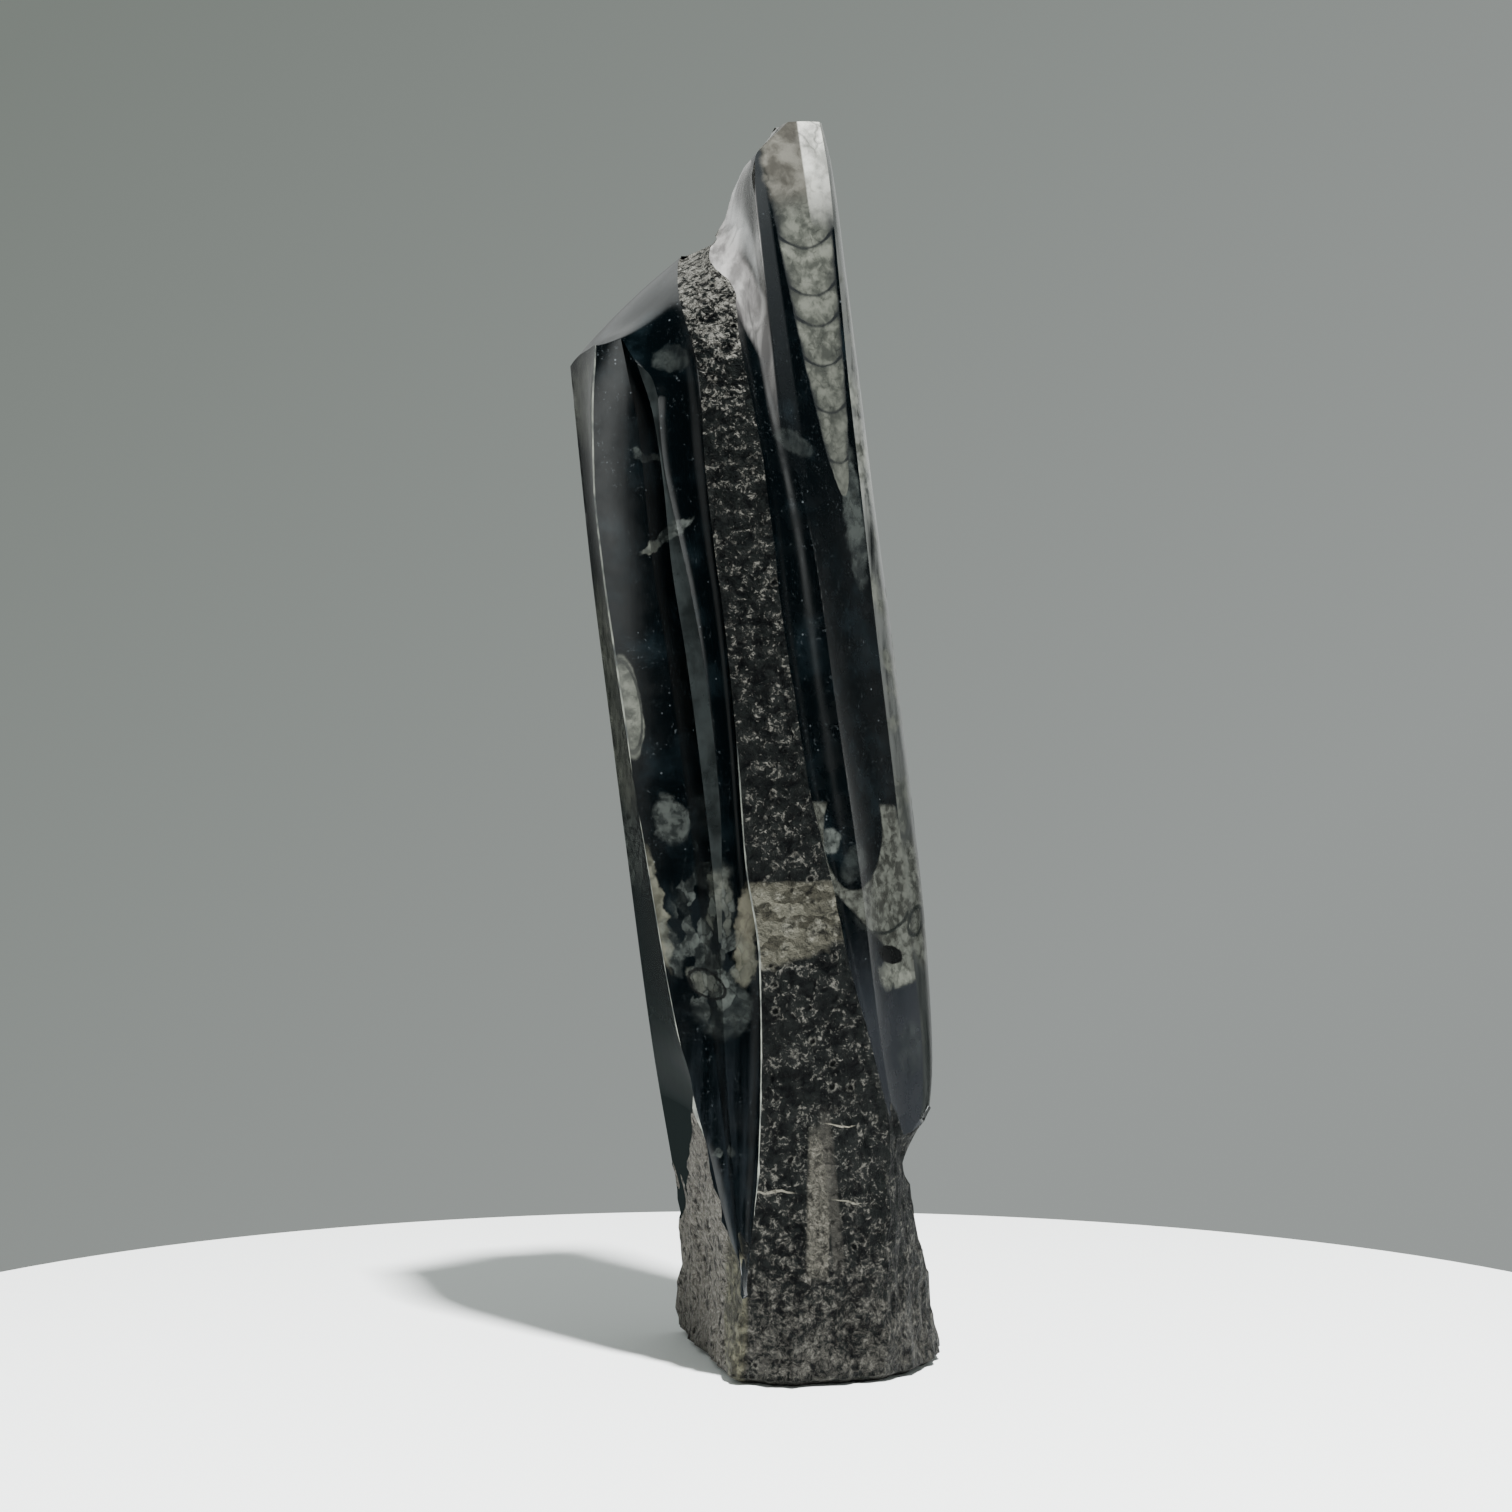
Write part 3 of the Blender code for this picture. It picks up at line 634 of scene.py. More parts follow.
def make_stone(roughness):
    """The whole stone: the block with every flute and the flat top cut from it."""
    stone = make_block(roughness)
    stone.name = "fossil_tower"
    stone["flutes"] = 0
    number_faces(stone, "rough skin", 0)
    for name, (left, right, low, high, step, hollow, count, valley, finish) in FLUTES.items():
        heights = spaced(low, high, step)
        rows, ways = flute_sections(ridge(left), ridge(right), heights, hollow, count, valley)
        take_away(stone, make_cutter(name, rows, ways), finish)
    rows, ways = left_flute_sections()
    take_away(stone, make_cutter("left_flute", rows, ways), "left front")
    for name, points, heights, facing, depth, finish in BROKEN_RIDGES:
        rows, ways = broken_ridge_sections(points, *heights, facing, depth)
        take_away(stone, make_cutter(name, rows, ways), finish)
    bpy.ops.mesh.primitive_cube_add(size=SAW * MM, location=(0, 0, (HEIGHT + SAW / 2) * MM))
    bpy.ops.object.transform_apply(location=True)
    take_away(stone, bpy.context.object, "right front")
    sharpen_real_edges(stone)
    del stone["flutes"]
    return stone


# ------------------------------------------------------------------- materials


def linear(code):
    """The colour that a shader wants, from a six-digit screen colour."""
    parts = [int(code[i : i + 2], 16) / 255 for i in (0, 2, 4)]
    return tuple(c / 12.92 if c <= 0.04045 else ((c + 0.055) / 1.055) ** 2.4 for c in parts)


def add(tree, kind, inputs, out=0, stops=(), **settings):
    """Adds a node, sets it up, fills or links its inputs, and gives one output."""
    node = tree.nodes.new("ShaderNode" + kind)
    for name, value in settings.items():
        setattr(node, name, value)
    for key, value in inputs.items():
        if isinstance(value, bpy.types.NodeSocket):
            tree.links.new(value, node.inputs[key])
        elif isinstance(value, str):
            node.inputs[key].default_value = (*linear(value), 1.0)
        else:
            node.inputs[key].default_value = value
    if stops:
        points = node.color_ramp.elements
        while len(points) < len(stops):
            points.new(1.0)
        for point, (place, light) in zip(points, stops):
            point.position = place
            point.color = (light, light, light, 1.0)
    return node.outputs[out] if node.outputs else node


def new_material(name):
    """An empty material; gives its node tree."""
    material = bpy.data.materials.new(name)
    material.use_nodes = True
    material.node_tree.nodes.clear()
    return material.node_tree


def stone_place(tree):
    """Where a point is in the stone, in millimetres."""
    seat = add(tree, "TexCoord", {}, out=3)
    return add(tree, "VectorMath", {0: seat, 3: 1000.0}, operation="SCALE")


def shaken(tree, place, size, amount):
    """The place, moved about so that a drawn outline comes out natural."""
    wander = add(tree, "TexNoise", {"Vector": place, "Scale": 1 / size, "Detail": 3.0}, out=1)
    centred = add(tree, "VectorMath", {0: wander, 1: (0.5, 0.5, 0.5)}, operation="SUBTRACT")
    moved = add(tree, "VectorMath", {0: centred, 3: amount * 2}, operation="SCALE")
    return add(tree, "VectorMath", {0: place, 1: moved}, operation="ADD")


def patch(tree, place, centre, half, lean=0.0, soft=0.25):
    """How much a point lies in a rounded patch, given its middle and half sizes."""
    local = add(
        tree,
        "Mapping",
        {"Vector": place, "Location": centre, "Rotation": (0, lean, 0), "Scale": half},
        vector_type="TEXTURE",
    )
    reach = add(tree, "VectorMath", {0: local}, out=1, operation="LENGTH")
    edge = {0: reach, 1: 1 + soft / 2, 2: 1 - soft / 2}
    return add(tree, "MapRange", edge, interpolation_type="SMOOTHSTEP")


def past_height(tree, place, start, full):
    """How much a point lies past a height: above it, or below it where full is the lower."""
    height = add(tree, "SeparateXYZ", {0: place}, out=2)
    return add(tree, "MapRange", {0: height, 1: start, 2: full})


def blotches(tree, place, size, low, high, detail=4.0):
    """Cloudy spots of one size, as a strength from none to full."""
    cloud = add(
        tree, "TexNoise", {"Vector": place, "Scale": 1 / size, "Detail": detail, "Roughness": 0.6}
    )
    return add(tree, "MapRange", {0: cloud, 1: low, 2: high}, interpolation_type="SMOOTHSTEP")


def lay(tree, colour, tone, mask, strength=1.0):
    """Lays a tone on the colour where the mask is, at a strength."""
    amount = add(tree, "Math", {0: mask, 1: strength}, operation="MULTIPLY")
    return add(tree, "Mix", {0: amount, 6: colour, 7: tone}, out=2, data_type="RGBA")


def meet(tree, first, *others):
    """How much a point lies in all of several masks."""
    for other in others:
        first = add(tree, "Math", {0: first, 1: other}, operation="MULTIPLY")
    return first


def calcite(tree, place, dim, pale, grain):
    """Calcite crystals: cloudy, with darker seams between the grains."""
    wavy = shaken(tree, place, grain * 0.8, grain * 0.35)
    colour = lay(tree, dim, pale, blotches(tree, wavy, grain, 0.36, 0.66))
    seam = add(tree, "TexVoronoi", {"Vector": wavy, "Scale": 1 / grain}, feature="DISTANCE_TO_EDGE")
    open_seam = add(tree, "MapRange", {0: seam, 1: 0.0, 2: 0.07, 3: 0.55, 4: 0.0})
    here = meet(tree, open_seam, blotches(tree, place, grain * 2.2, 0.45, 0.6))
    return lay(tree, colour, "1b1d1b", here)


def black_stone(tree, place, clouds):
    """The polished limestone itself: almost black, faintly cloudy, with crumbs of shell."""
    colour = lay(tree, "010304", (*clouds, 1.0), blotches(tree, place, 16.0, 0.48, 0.8))
    crumbs = add(tree, "TexVoronoi", {"Vector": place, "Scale": 1 / 2.6})
    pick = add(tree, "SeparateColor", {0: crumbs.node.outputs[1]})
    rare = add(tree, "MapRange", {0: pick, 1: 0.86, 2: 0.94})
    small = add(tree, "MapRange", {0: crumbs, 1: 0.17, 2: 0.1})
    crumb = meet(tree, rare, small, blotches(tree, place, 20.0, 0.4, 0.6))
    colour = lay(tree, colour, "43484a", crumb)
    fine = add(tree, "TexNoise", {"Vector": place, "Scale": 0.75, "Detail": 4.0, "Roughness": 0.7})
    speck = add(tree, "MapRange", {0: fine, 1: 0.6, 2: 0.72})
    dust = meet(tree, speck, blotches(tree, place, 11.0, 0.42, 0.62))
    return lay(tree, colour, "3a3f41", dust, 0.7)


def shell(tree, place, tip, lean, width, walls, length):
    """A straight shell sawn along its middle, from its tip up: how much a point lies in
    it, and how light it is there. Dark cup-shaped walls divide its chambers."""
    local = add(
        tree, "Mapping", {"Vector": place, "Location": tip, "Rotation": (0, lean, 0)},
        vector_type="TEXTURE",
    )
    across = add(tree, "SeparateXYZ", {0: local})
    along = add(tree, "SeparateXYZ", {0: local}, out=2)
    rise = add(tree, "Math", {0: along, 1: 0.02}, operation="MAXIMUM")
    spread = add(tree, "Math", {0: meet(tree, across, across), 1: rise}, operation="DIVIDE")
    edge = add(tree, "Math", {0: spread, 1: width}, operation="DIVIDE")
    root = add(tree, "Math", {0: rise, 1: 0.5}, operation="POWER")
    cup = meet(tree, edge, root, 0.55 * width)
    level = add(tree, "Math", {0: rise, 1: cup}, operation="SUBTRACT")
    stops = [(0.0, 1.0)]
    for wall in walls:
        for gap, light in ((-3.4, 1.0), (-0.8, 0.9), (0.0, 0.0), (0.6, 0.85)):
            stops.append(((wall + gap) / length, light))
    part = add(tree, "Math", {0: level, 1: length}, operation="DIVIDE")
    chambers = add(tree, "ValToRGB", {0: part}, stops=stops)
    # the corners under each wall are dark, so that the chambers look like stacked cups
    side = add(tree, "Math", {0: edge, 1: 3.0}, operation="POWER")
    depth = add(tree, "Math", {0: side, 1: 16.0, 2: 1.0}, operation="MULTIPLY_ADD")
    chambers = add(tree, "Math", {0: chambers, 1: depth}, operation="POWER")
    rim = add(tree, "MapRange", {0: edge, 1: 0.84, 2: 0.98, 3: 1.0, 4: 0.2})
    outline = add(tree, "MapRange", {0: edge, 1: 1.05, 2: 0.97})
    top = add(tree, "MapRange", {0: along, 1: length, 2: length - 9})
    point = add(tree, "MapRange", {0: along, 1: 0.0, 2: 0.8})
    return meet(tree, outline, top, point), meet(tree, chambers, rim)


def half_plane(tree, place, point, other, soft=1.0):
    """How much a point lies to the right of a line, seen from its first end (across, height)."""
    run, rise = other[0] - point[0], other[1] - point[1]
    length = math.hypot(run, rise)
    normal = (rise / length, 0.0, -run / length)
    reach = add(tree, "VectorMath", {0: place, 1: normal}, out=1, operation="DOT_PRODUCT")
    start = point[0] * normal[0] + point[1] * normal[2]
    return add(tree, "MapRange", {0: reach, 1: start - soft / 2, 2: start + soft / 2})


def without(tree, one, other):
    """The part of one mask that lies outside another."""
    rest = add(tree, "Math", {0: 1.0, 1: other}, operation="SUBTRACT")
    return meet(tree, one, rest)


def ring(tree, place, centre, half, wide, lean=0.0):
    """A thin outline round an oval; the width is a part of its half size."""
    outer = patch(tree, place, centre, half, lean, wide * 0.6)
    inner = tuple(size * (1 - wide) for size in half)
    return without(tree, outer, patch(tree, place, centre, inner, lean, wide * 0.6))


def paint_patches(tree, place, colour, patches, tones):
    """Lays a list of patches on a colour: (tone, strength, middle, half sizes, lean)."""
    for tone, strength, centre, half, lean in patches:
        mask = patch(tree, place, centre, half, lean, 0.35)
        colour = lay(tree, colour, tones[tone], mask, strength)
    return colour


def polish(tree, colour, roughness, mirror, fades):
    """Ground and polished limestone: a clear gloss, with the faint waves of grinding.
    On some faces it fades out just above the base."""
    place = stone_place(tree)
    long = add(tree, "VectorMath", {0: place, 1: (0.16, 0.16, 0.014)}, operation="MULTIPLY")
    wave = add(tree, "TexNoise", {"Vector": long, "Scale": 1.0, "Detail": 2.0})
    bump = add(tree, "Bump", {"Strength": 0.35, "Distance": 0.00012, "Height": wave})
    wear = blotches(tree, place, 9.0, 0.3, 0.8)
    rough = add(tree, "MapRange", {0: wear, 3: roughness * 0.8, 4: roughness * 1.5})
    if fades:
        full = past_height(tree, place, 88.0, 130.0)
        rough = add(tree, "Mix", {0: full, 2: 0.6, 3: rough})
        mirror = meet(tree, full, mirror)
    shader = add(tree, "BsdfPrincipled", {
        "Base Color": colour, "Roughness": rough, "IOR": 1.56,
        "Specular IOR Level": mirror, "Normal": bump,
    })
    add(tree, "OutputMaterial", {0: shader})


# Calcite in its tones: its dimmer and its paler colour, and the size of its grains.
CALCITES = {
    "white": ("7e7f7a", "bcbdb6", 7.0),
    "umber": ("32312d", "53524c", 9.0),
    "pale": ("31332f", "565851", 5.0),
    "cream": ("2c2c25", "4f4f46", 8.0),
    "brown": ("302f28", "565449", 9.0),
    "grey": ("1f2221", "454946", 4.0),
    "dim": ("171a1a", "333735", 6.0),
    "green": ("1f201d", "434540", 3.6),
}

# Patches in the two left flutes: tone, strength, middle, half sizes, lean.
LEFT_FRONT_PATCHES = (
    ("cream", 0.9, (-33.0, -37, 157), (2.9, 40, 21), -0.22),
    ("brown", 0.85, (-3.0, -49, 152), (3.6, 40, 13.5), 0.1),
    ("cream", 0.8, (-3.6, -49, 139.5), (3.6, 40, 8.0), 0.0),
    ("dim", 0.7, (-8.5, -48, 122.5), (6.4, 40, 9.5), 0.35),
    ("grey", 0.55, (-28.3, -40, 186), (5.6, 40, 8.2), -0.3),
    ("pale", 0.6, (-12.0, -46, 158), (4.4, 40, 11.5), 0.0),
    ("pale", 0.55, (-16.5, -45, 131.5), (6.6, 40, 3.8), 0.5),
    ("grey", 0.5, (-27.5, -41, 143), (2.6, 40, 9.0), -0.3),
    ("grey", 0.6, (-29.8, -40, 279.9), (9.6, 40, 2.1), -0.6),
    ("pale", 0.6, (-34.8, -40, 276.3), (3.2, 40, 1.7), -0.6),
    ("grey", 0.7, (-25.6, -40, 283.3), (3.8, 40, 2.6), -0.5),
    ("dim", 0.8, (-36.5, -40, 306.8), (5.2, 40, 1.6), 0.35),
    ("dim", 0.45, (-27.9, -39, 339), (6.0, 60, 4.4), 0.0),
    ("grey", 0.6, (-12.9, -47, 76.2), (1.7, 40, 2.2), 0.0),
    ("grey", 0.6, (-8.3, -49, 75.8), (1.7, 40, 2.2), 0.0),
)
RIGHT_FRONT_PATCHES = (
    ("umber", 0.95, (11.5, -27, 405), (9.0, 60, 20.0), -0.15),
    ("dim", 0.35, (13.0, -38, 311), (7.0, 40, 3.4), 0.5),
    ("dim", 0.8, (32.8, -18, 288), (3.2, 60, 24.0), -0.12),
    ("grey", 0.9, (24.5, -44, 179.4), (3.2, 40, 4.2), 0.0),
    ("dim", 0.4, (32.5, -42, 171.5), (4.0, 40, 6.5), 0.45),
    ("pale", 0.95, (48.5, -24, 134.5), (7.6, 40, 5.4), -0.2),
    ("grey", 0.8, (56.5, -12, 141), (2.6, 40, 12.0), 0.0),
    ("dim", 0.3, (52.0, -20, 108), (4.5, 40, 9.0), 0.0),
)
# A small shell cut across beside the right rim, and the oval one on the left flute:
# middle and half sizes.
EYE = (54.3, -14, 150.5)
EYE_HALF = (2.9, 60, 5.8)
OVAL = (-43, -40, 223.5)
OVAL_HALF = (5.2, 40, 17)


def paint_left_front(tree, place, colour, tones):
    loose = shaken(tree, place, 5.0, 3.4)
    # long dim streaks at the foot of the flutes
    foot = past_height(tree, place, 118.0, 96.0)
    drawn = add(tree, "VectorMath", {0: place, 1: (1.0, 1.0, 0.08)}, operation="MULTIPLY")
    colour = lay(tree, colour, "13171a", meet(tree, foot, blotches(tree, drawn, 3.0, 0.36, 0.64)), 0.8)
    colour = paint_patches(tree, loose, colour, LEFT_FRONT_PATCHES, tones)
    # the broken calcite: grey shards and black ones, with dark cracks between them
    bent = shaken(tree, place, 5.0, 2.6)
    flat = add(tree, "VectorMath", {0: bent, 1: (1.0, 0.25, 0.55)}, operation="MULTIPLY")
    shards = add(tree, "TexVoronoi", {"Vector": flat, "Scale": 1 / 3.4}, out=1)
    pick = add(tree, "SeparateColor", {0: shards})
    flake = add(tree, "MapRange", {0: pick, 1: 0.4, 2: 0.9})
    black = add(tree, "MapRange", {0: pick, 1: 0.26, 2: 0.18})
    area = patch(tree, loose, (-15.5, -45, 147), (10.5, 40, 27), -0.1, 0.6)
    colour = lay(tree, colour, tones["grey"], meet(tree, flake, area), 0.85)
    colour = lay(tree, colour, "0a0e10", meet(tree, black, area), 0.85)
    crack = add(tree, "TexVoronoi", {"Vector": flat, "Scale": 1 / 3.4}, feature="DISTANCE_TO_EDGE")
    open_crack = add(tree, "MapRange", {0: crack, 1: 0.0, 2: 0.09, 3: 1.0, 4: 0.0})
    colour = lay(tree, colour, "0b0e0f", meet(tree, open_crack, area), 0.6)
    # an oval shell with a dark rim
    oval = patch(tree, shaken(tree, place, 6.0, 1.0), OVAL, OVAL_HALF, -0.15, 0.15)
    rim = ring(tree, place, OVAL, (5.0, 40, 16.5), 0.14, -0.15)
    colour = lay(tree, colour, tones["pale"], oval, 0.85)
    colour = lay(tree, colour, "191b1a", rim, 0.8)
    # a shell cut aslant, with a dark outline
    aslant = ring(tree, shaken(tree, place, 4.0, 0.9), (-16.5, -45, 131.5), (7.4, 40, 4.4), 0.16, 0.5)
    return lay(tree, colour, "0b0c0c", aslant, 0.9)


def paint_right_front(tree, place, colour, tones):
    loose = shaken(tree, place, 5.0, 2.0)
    firm = shaken(tree, place, 4.0, 0.5)
    # painted reflection: the light in the scoop behind the peak's ridge, drawn with a calcite grain and
    # fading downwards; a dark wedge is left out
    drawn = add(tree, "VectorMath", {0: place, 1: (1.0, 0.6, 0.16)}, operation="MULTIPLY")
    scoop_light = calcite(tree, drawn, "4b4a49", "797876", 6.0)
    past_ridge = half_plane(tree, place, (7.9, 318.0), (-1.5, 408.0), 0.6)
    wedge = meet(
        tree,
        half_plane(tree, firm, (-6.6, 356.0), (1.2, 341.0), 1.6),
        half_plane(tree, firm, (1.2, 341.0), (6.2, 310.0), 1.2),
    )
    scoop_light_area = without(tree, past_height(tree, place, 312.0, 372.0), past_ridge)
    colour = lay(tree, colour, scoop_light, without(tree, scoop_light_area, wedge))
    # painted light: a grey sheen on the polished face beside the peak's ridge, growing stronger upwards
    painted_light = meet(
        tree,
        past_ridge,
        half_plane(tree, place, (5.3, 383.5), (11.4, 341.0), 0.8),
        past_height(tree, place, 296.0, 400.0),
    )
    colour = lay(tree, colour, "1e2021", painted_light, 0.85)
    # the foot of the flute and the stone beside the shell's tip are greyer
    colour = lay(tree, colour, "1d1f22", past_height(tree, place, 150.0, 118.0), 0.85)
    colour = paint_patches(tree, loose, colour, RIGHT_FRONT_PATCHES, tones)
    # the large shell with its chambers
    walls = (11.5, 28.5, 44.3, 57.9, 68.1, 84.2)
    body, shade = shell(tree, firm, (29.8, -25, 294), math.radians(-8.66), 0.95, walls, 104.0)
    colour = lay(tree, colour, "17191a", body)
    colour = lay(tree, colour, tones["pale"], meet(tree, body, shade))
    # painted shade: the shell is painted darker towards its lower end
    lower = past_height(tree, place, 370.0, 300.0)
    colour = lay(tree, colour, "1a1c1b", meet(tree, body, lower), 0.45)
    # a painted reflection: a pale strip beside the peak's outer edge
    strip = meet(
        tree,
        half_plane(tree, place, (18.7, 384.0), (13.9, 419.0), 0.5),
        past_height(tree, loose, 384.0, 412.0),
    )
    colour = lay(tree, colour, tones["white"], strip, 0.9)
    # the broken shell low down, round a tongue of dark stone
    body = meet(
        tree,
        half_plane(tree, firm, (45.4, 141.0), (26.5, 161.9), 0.8),
        half_plane(tree, firm, (57.5, 148.0), (46.6, 190.5), -1.2),
        half_plane(tree, firm, (46.0, 190.0), (60.0, 189.0), 1.2),
    )
    tongue = patch(tree, firm, (32.6, -40, 181.9), (10.4, 60, 19.4), 0.0, 0.06)
    colour = lay(tree, colour, tones["green"], without(tree, body, tongue))
    arc = meet(
        tree,
        ring(tree, firm, (42.2, -27, 158.3), (11.3, 60, 11.3), 0.1),
        half_plane(tree, place, (30.0, 153.0), (60.0, 157.0), 2.0),
    )
    colour = lay(tree, colour, "101312", arc, 0.9)
    # painted shade: a void in the broken shell, painted black
    void_shade = patch(tree, firm, (45.3, -26, 140.2), (4.6, 60, 2.8), 0.5, 0.15)
    colour = lay(tree, colour, "050606", void_shade)
    # a small shell cut across, pale with a dark outline
    colour = lay(tree, colour, tones["pale"], patch(tree, firm, EYE, (2.3, 60, 5.2), 0.2))
    return lay(tree, colour, "101312", ring(tree, firm, EYE, EYE_HALF, 0.3, 0.2), 0.9)


def paint_left_side(tree, place, colour, tones):
    loose = shaken(tree, place, 10.0, 6.0)
    # painted light: the side is painted paler all over, most of all towards its foot
    height = add(tree, "SeparateXYZ", {0: place}, out=2)
    painted_light = add(tree, "MapRange", {0: height, 1: 300.0, 2: 150.0, 3: 0.45, 4: 1.0})
    colour = lay(tree, colour, "1d2222", painted_light, 0.85)
    for tone, centre, half in (
        ("pale", (-53, -4, 247), (60, 20, 17)),
        ("pale", (-49, 1, 208), (60, 18, 21)),
        ("grey", (-45, 6, 175), (60, 20, 13)),
        ("pale", (-58, -14, 327), (60, 26, 14)),
        ("dim", (-48, 26, 240), (60, 14, 30)),
    ):
        colour = lay(tree, colour, tones[tone], patch(tree, loose, centre, half, 0.0, 0.7), 0.8)
    return colour


def paint_back(tree, place, colour, tones):
    firm = shaken(tree, place, 4.0, 0.5)
    for tip, lean, length, walls in (
        ((-20, 30, 150), math.radians(12), 70.0, (10, 20, 30.5, 42, 54)),
        ((25, 20, 330), math.radians(170), 84.0, (12, 25, 37, 50, 64)),
    ):
        body, shade = shell(tree, firm, tip, lean, 0.8, walls, length)
        colour = lay(tree, colour, tones["pale"], meet(tree, body, shade), 0.9)
    return colour


def paint_rim(tree, place, colour, tones):
    """The outer edge of the stone is full of fine grey calcite, and its grey is partly a painted
    reflection; it is darker towards the bottom.
    """
    drawn = add(tree, "VectorMath", {0: place, 1: (1.0, 1.0, 0.12)}, operation="MULTIPLY")
    colour = lay(tree, colour, "4b4d4b", blotches(tree, drawn, 3.5, 0.25, 0.6), 0.9)
    colour = lay(tree, colour, tones["pale"], blotches(tree, place, 14.0, 0.48, 0.6), 0.8)
    colour = lay(tree, colour, "101313", past_height(tree, place, 300.0, 130.0), 0.85)
    # the end of the broken shell, and the small one beside it
    firm = shaken(tree, place, 4.0, 1.2)
    end = patch(tree, firm, (57, -8, 156), (9, 40, 23), -0.2, 0.3)
    colour = lay(tree, colour, tones["green"], end, 0.8)
    colour = lay(tree, colour, "101312", ring(tree, firm, EYE, EYE_HALF, 0.3, 0.2), 0.9)
    # a paler stretch beside the large shell's tip
    bright = meet(
        tree,
        past_height(tree, place, 282.0, 300.0),
        past_height(tree, place, 345.0, 322.0),
        blotches(tree, place, 5.0, 0.36, 0.6),
    )
    return lay(tree, colour, "7a7c76", bright, 0.4)


def paint_honed_sheen(tree, place, colour, tones):
    """A narrow flat that was ground smooth and hardly polished; its soft grey is a painted sheen."""
    colour = lay(tree, "0f1212", "202424", blotches(tree, place, 12.0, 0.35, 0.65))
    return paint_patches(tree, shaken(tree, place, 5.0, 2.6), colour, LEFT_FRONT_PATCHES, tones)


def paint_ridge_highlight(tree, place, colour, tones):
    """A narrow flat along a ridge, painted as a pale line of highlight that is dimmer higher up on the
    ridges right of a line.
    """
    colour = lay(tree, "3b3e3e", "85887f", blotches(tree, place, 7.0, 0.3, 0.7))
    upper = past_height(tree, place, 120.0, 240.0)
    beside = half_plane(tree, place, (-22.0, 100.0), (-38.0, 420.0), 1.0)
    return lay(tree, colour, "232627", meet(tree, upper, beside), 0.85)


def make_finishes(settings):
    """Every finish of the stone, in the order of its slots, with the calcite in it."""
    broken = ("pale", "cream", "brown", "grey", "dim")
    paints = {
        "left side": (paint_left_side, ("pale", "grey", "dim")),
        "left front": (paint_left_front, broken),
        "right front": (paint_right_front, ("white", "umber", "pale", "grey", "dim", "green")),
        "back": (paint_back, ("pale",)),
        "rim": (paint_rim, ("pale", "green")),
        "ridge highlight": (paint_ridge_highlight, ()),
        "honed flat": (paint_honed_sheen, broken),
    }
    rough_skin(settings)
    for finish, (paint, kinds) in paints.items():
        name, roughness, mirror = FINISHES[finish]
        tree = new_material(name)
        place = stone_place(tree)
        tones = {kind: calcite(tree, place, *CALCITES[kind]) for kind in kinds}
        colour = paint(tree, place, black_stone(tree, place, settings.clouds), tones)
        polish(tree, colour, roughness, mirror, fades=finish == "left side")


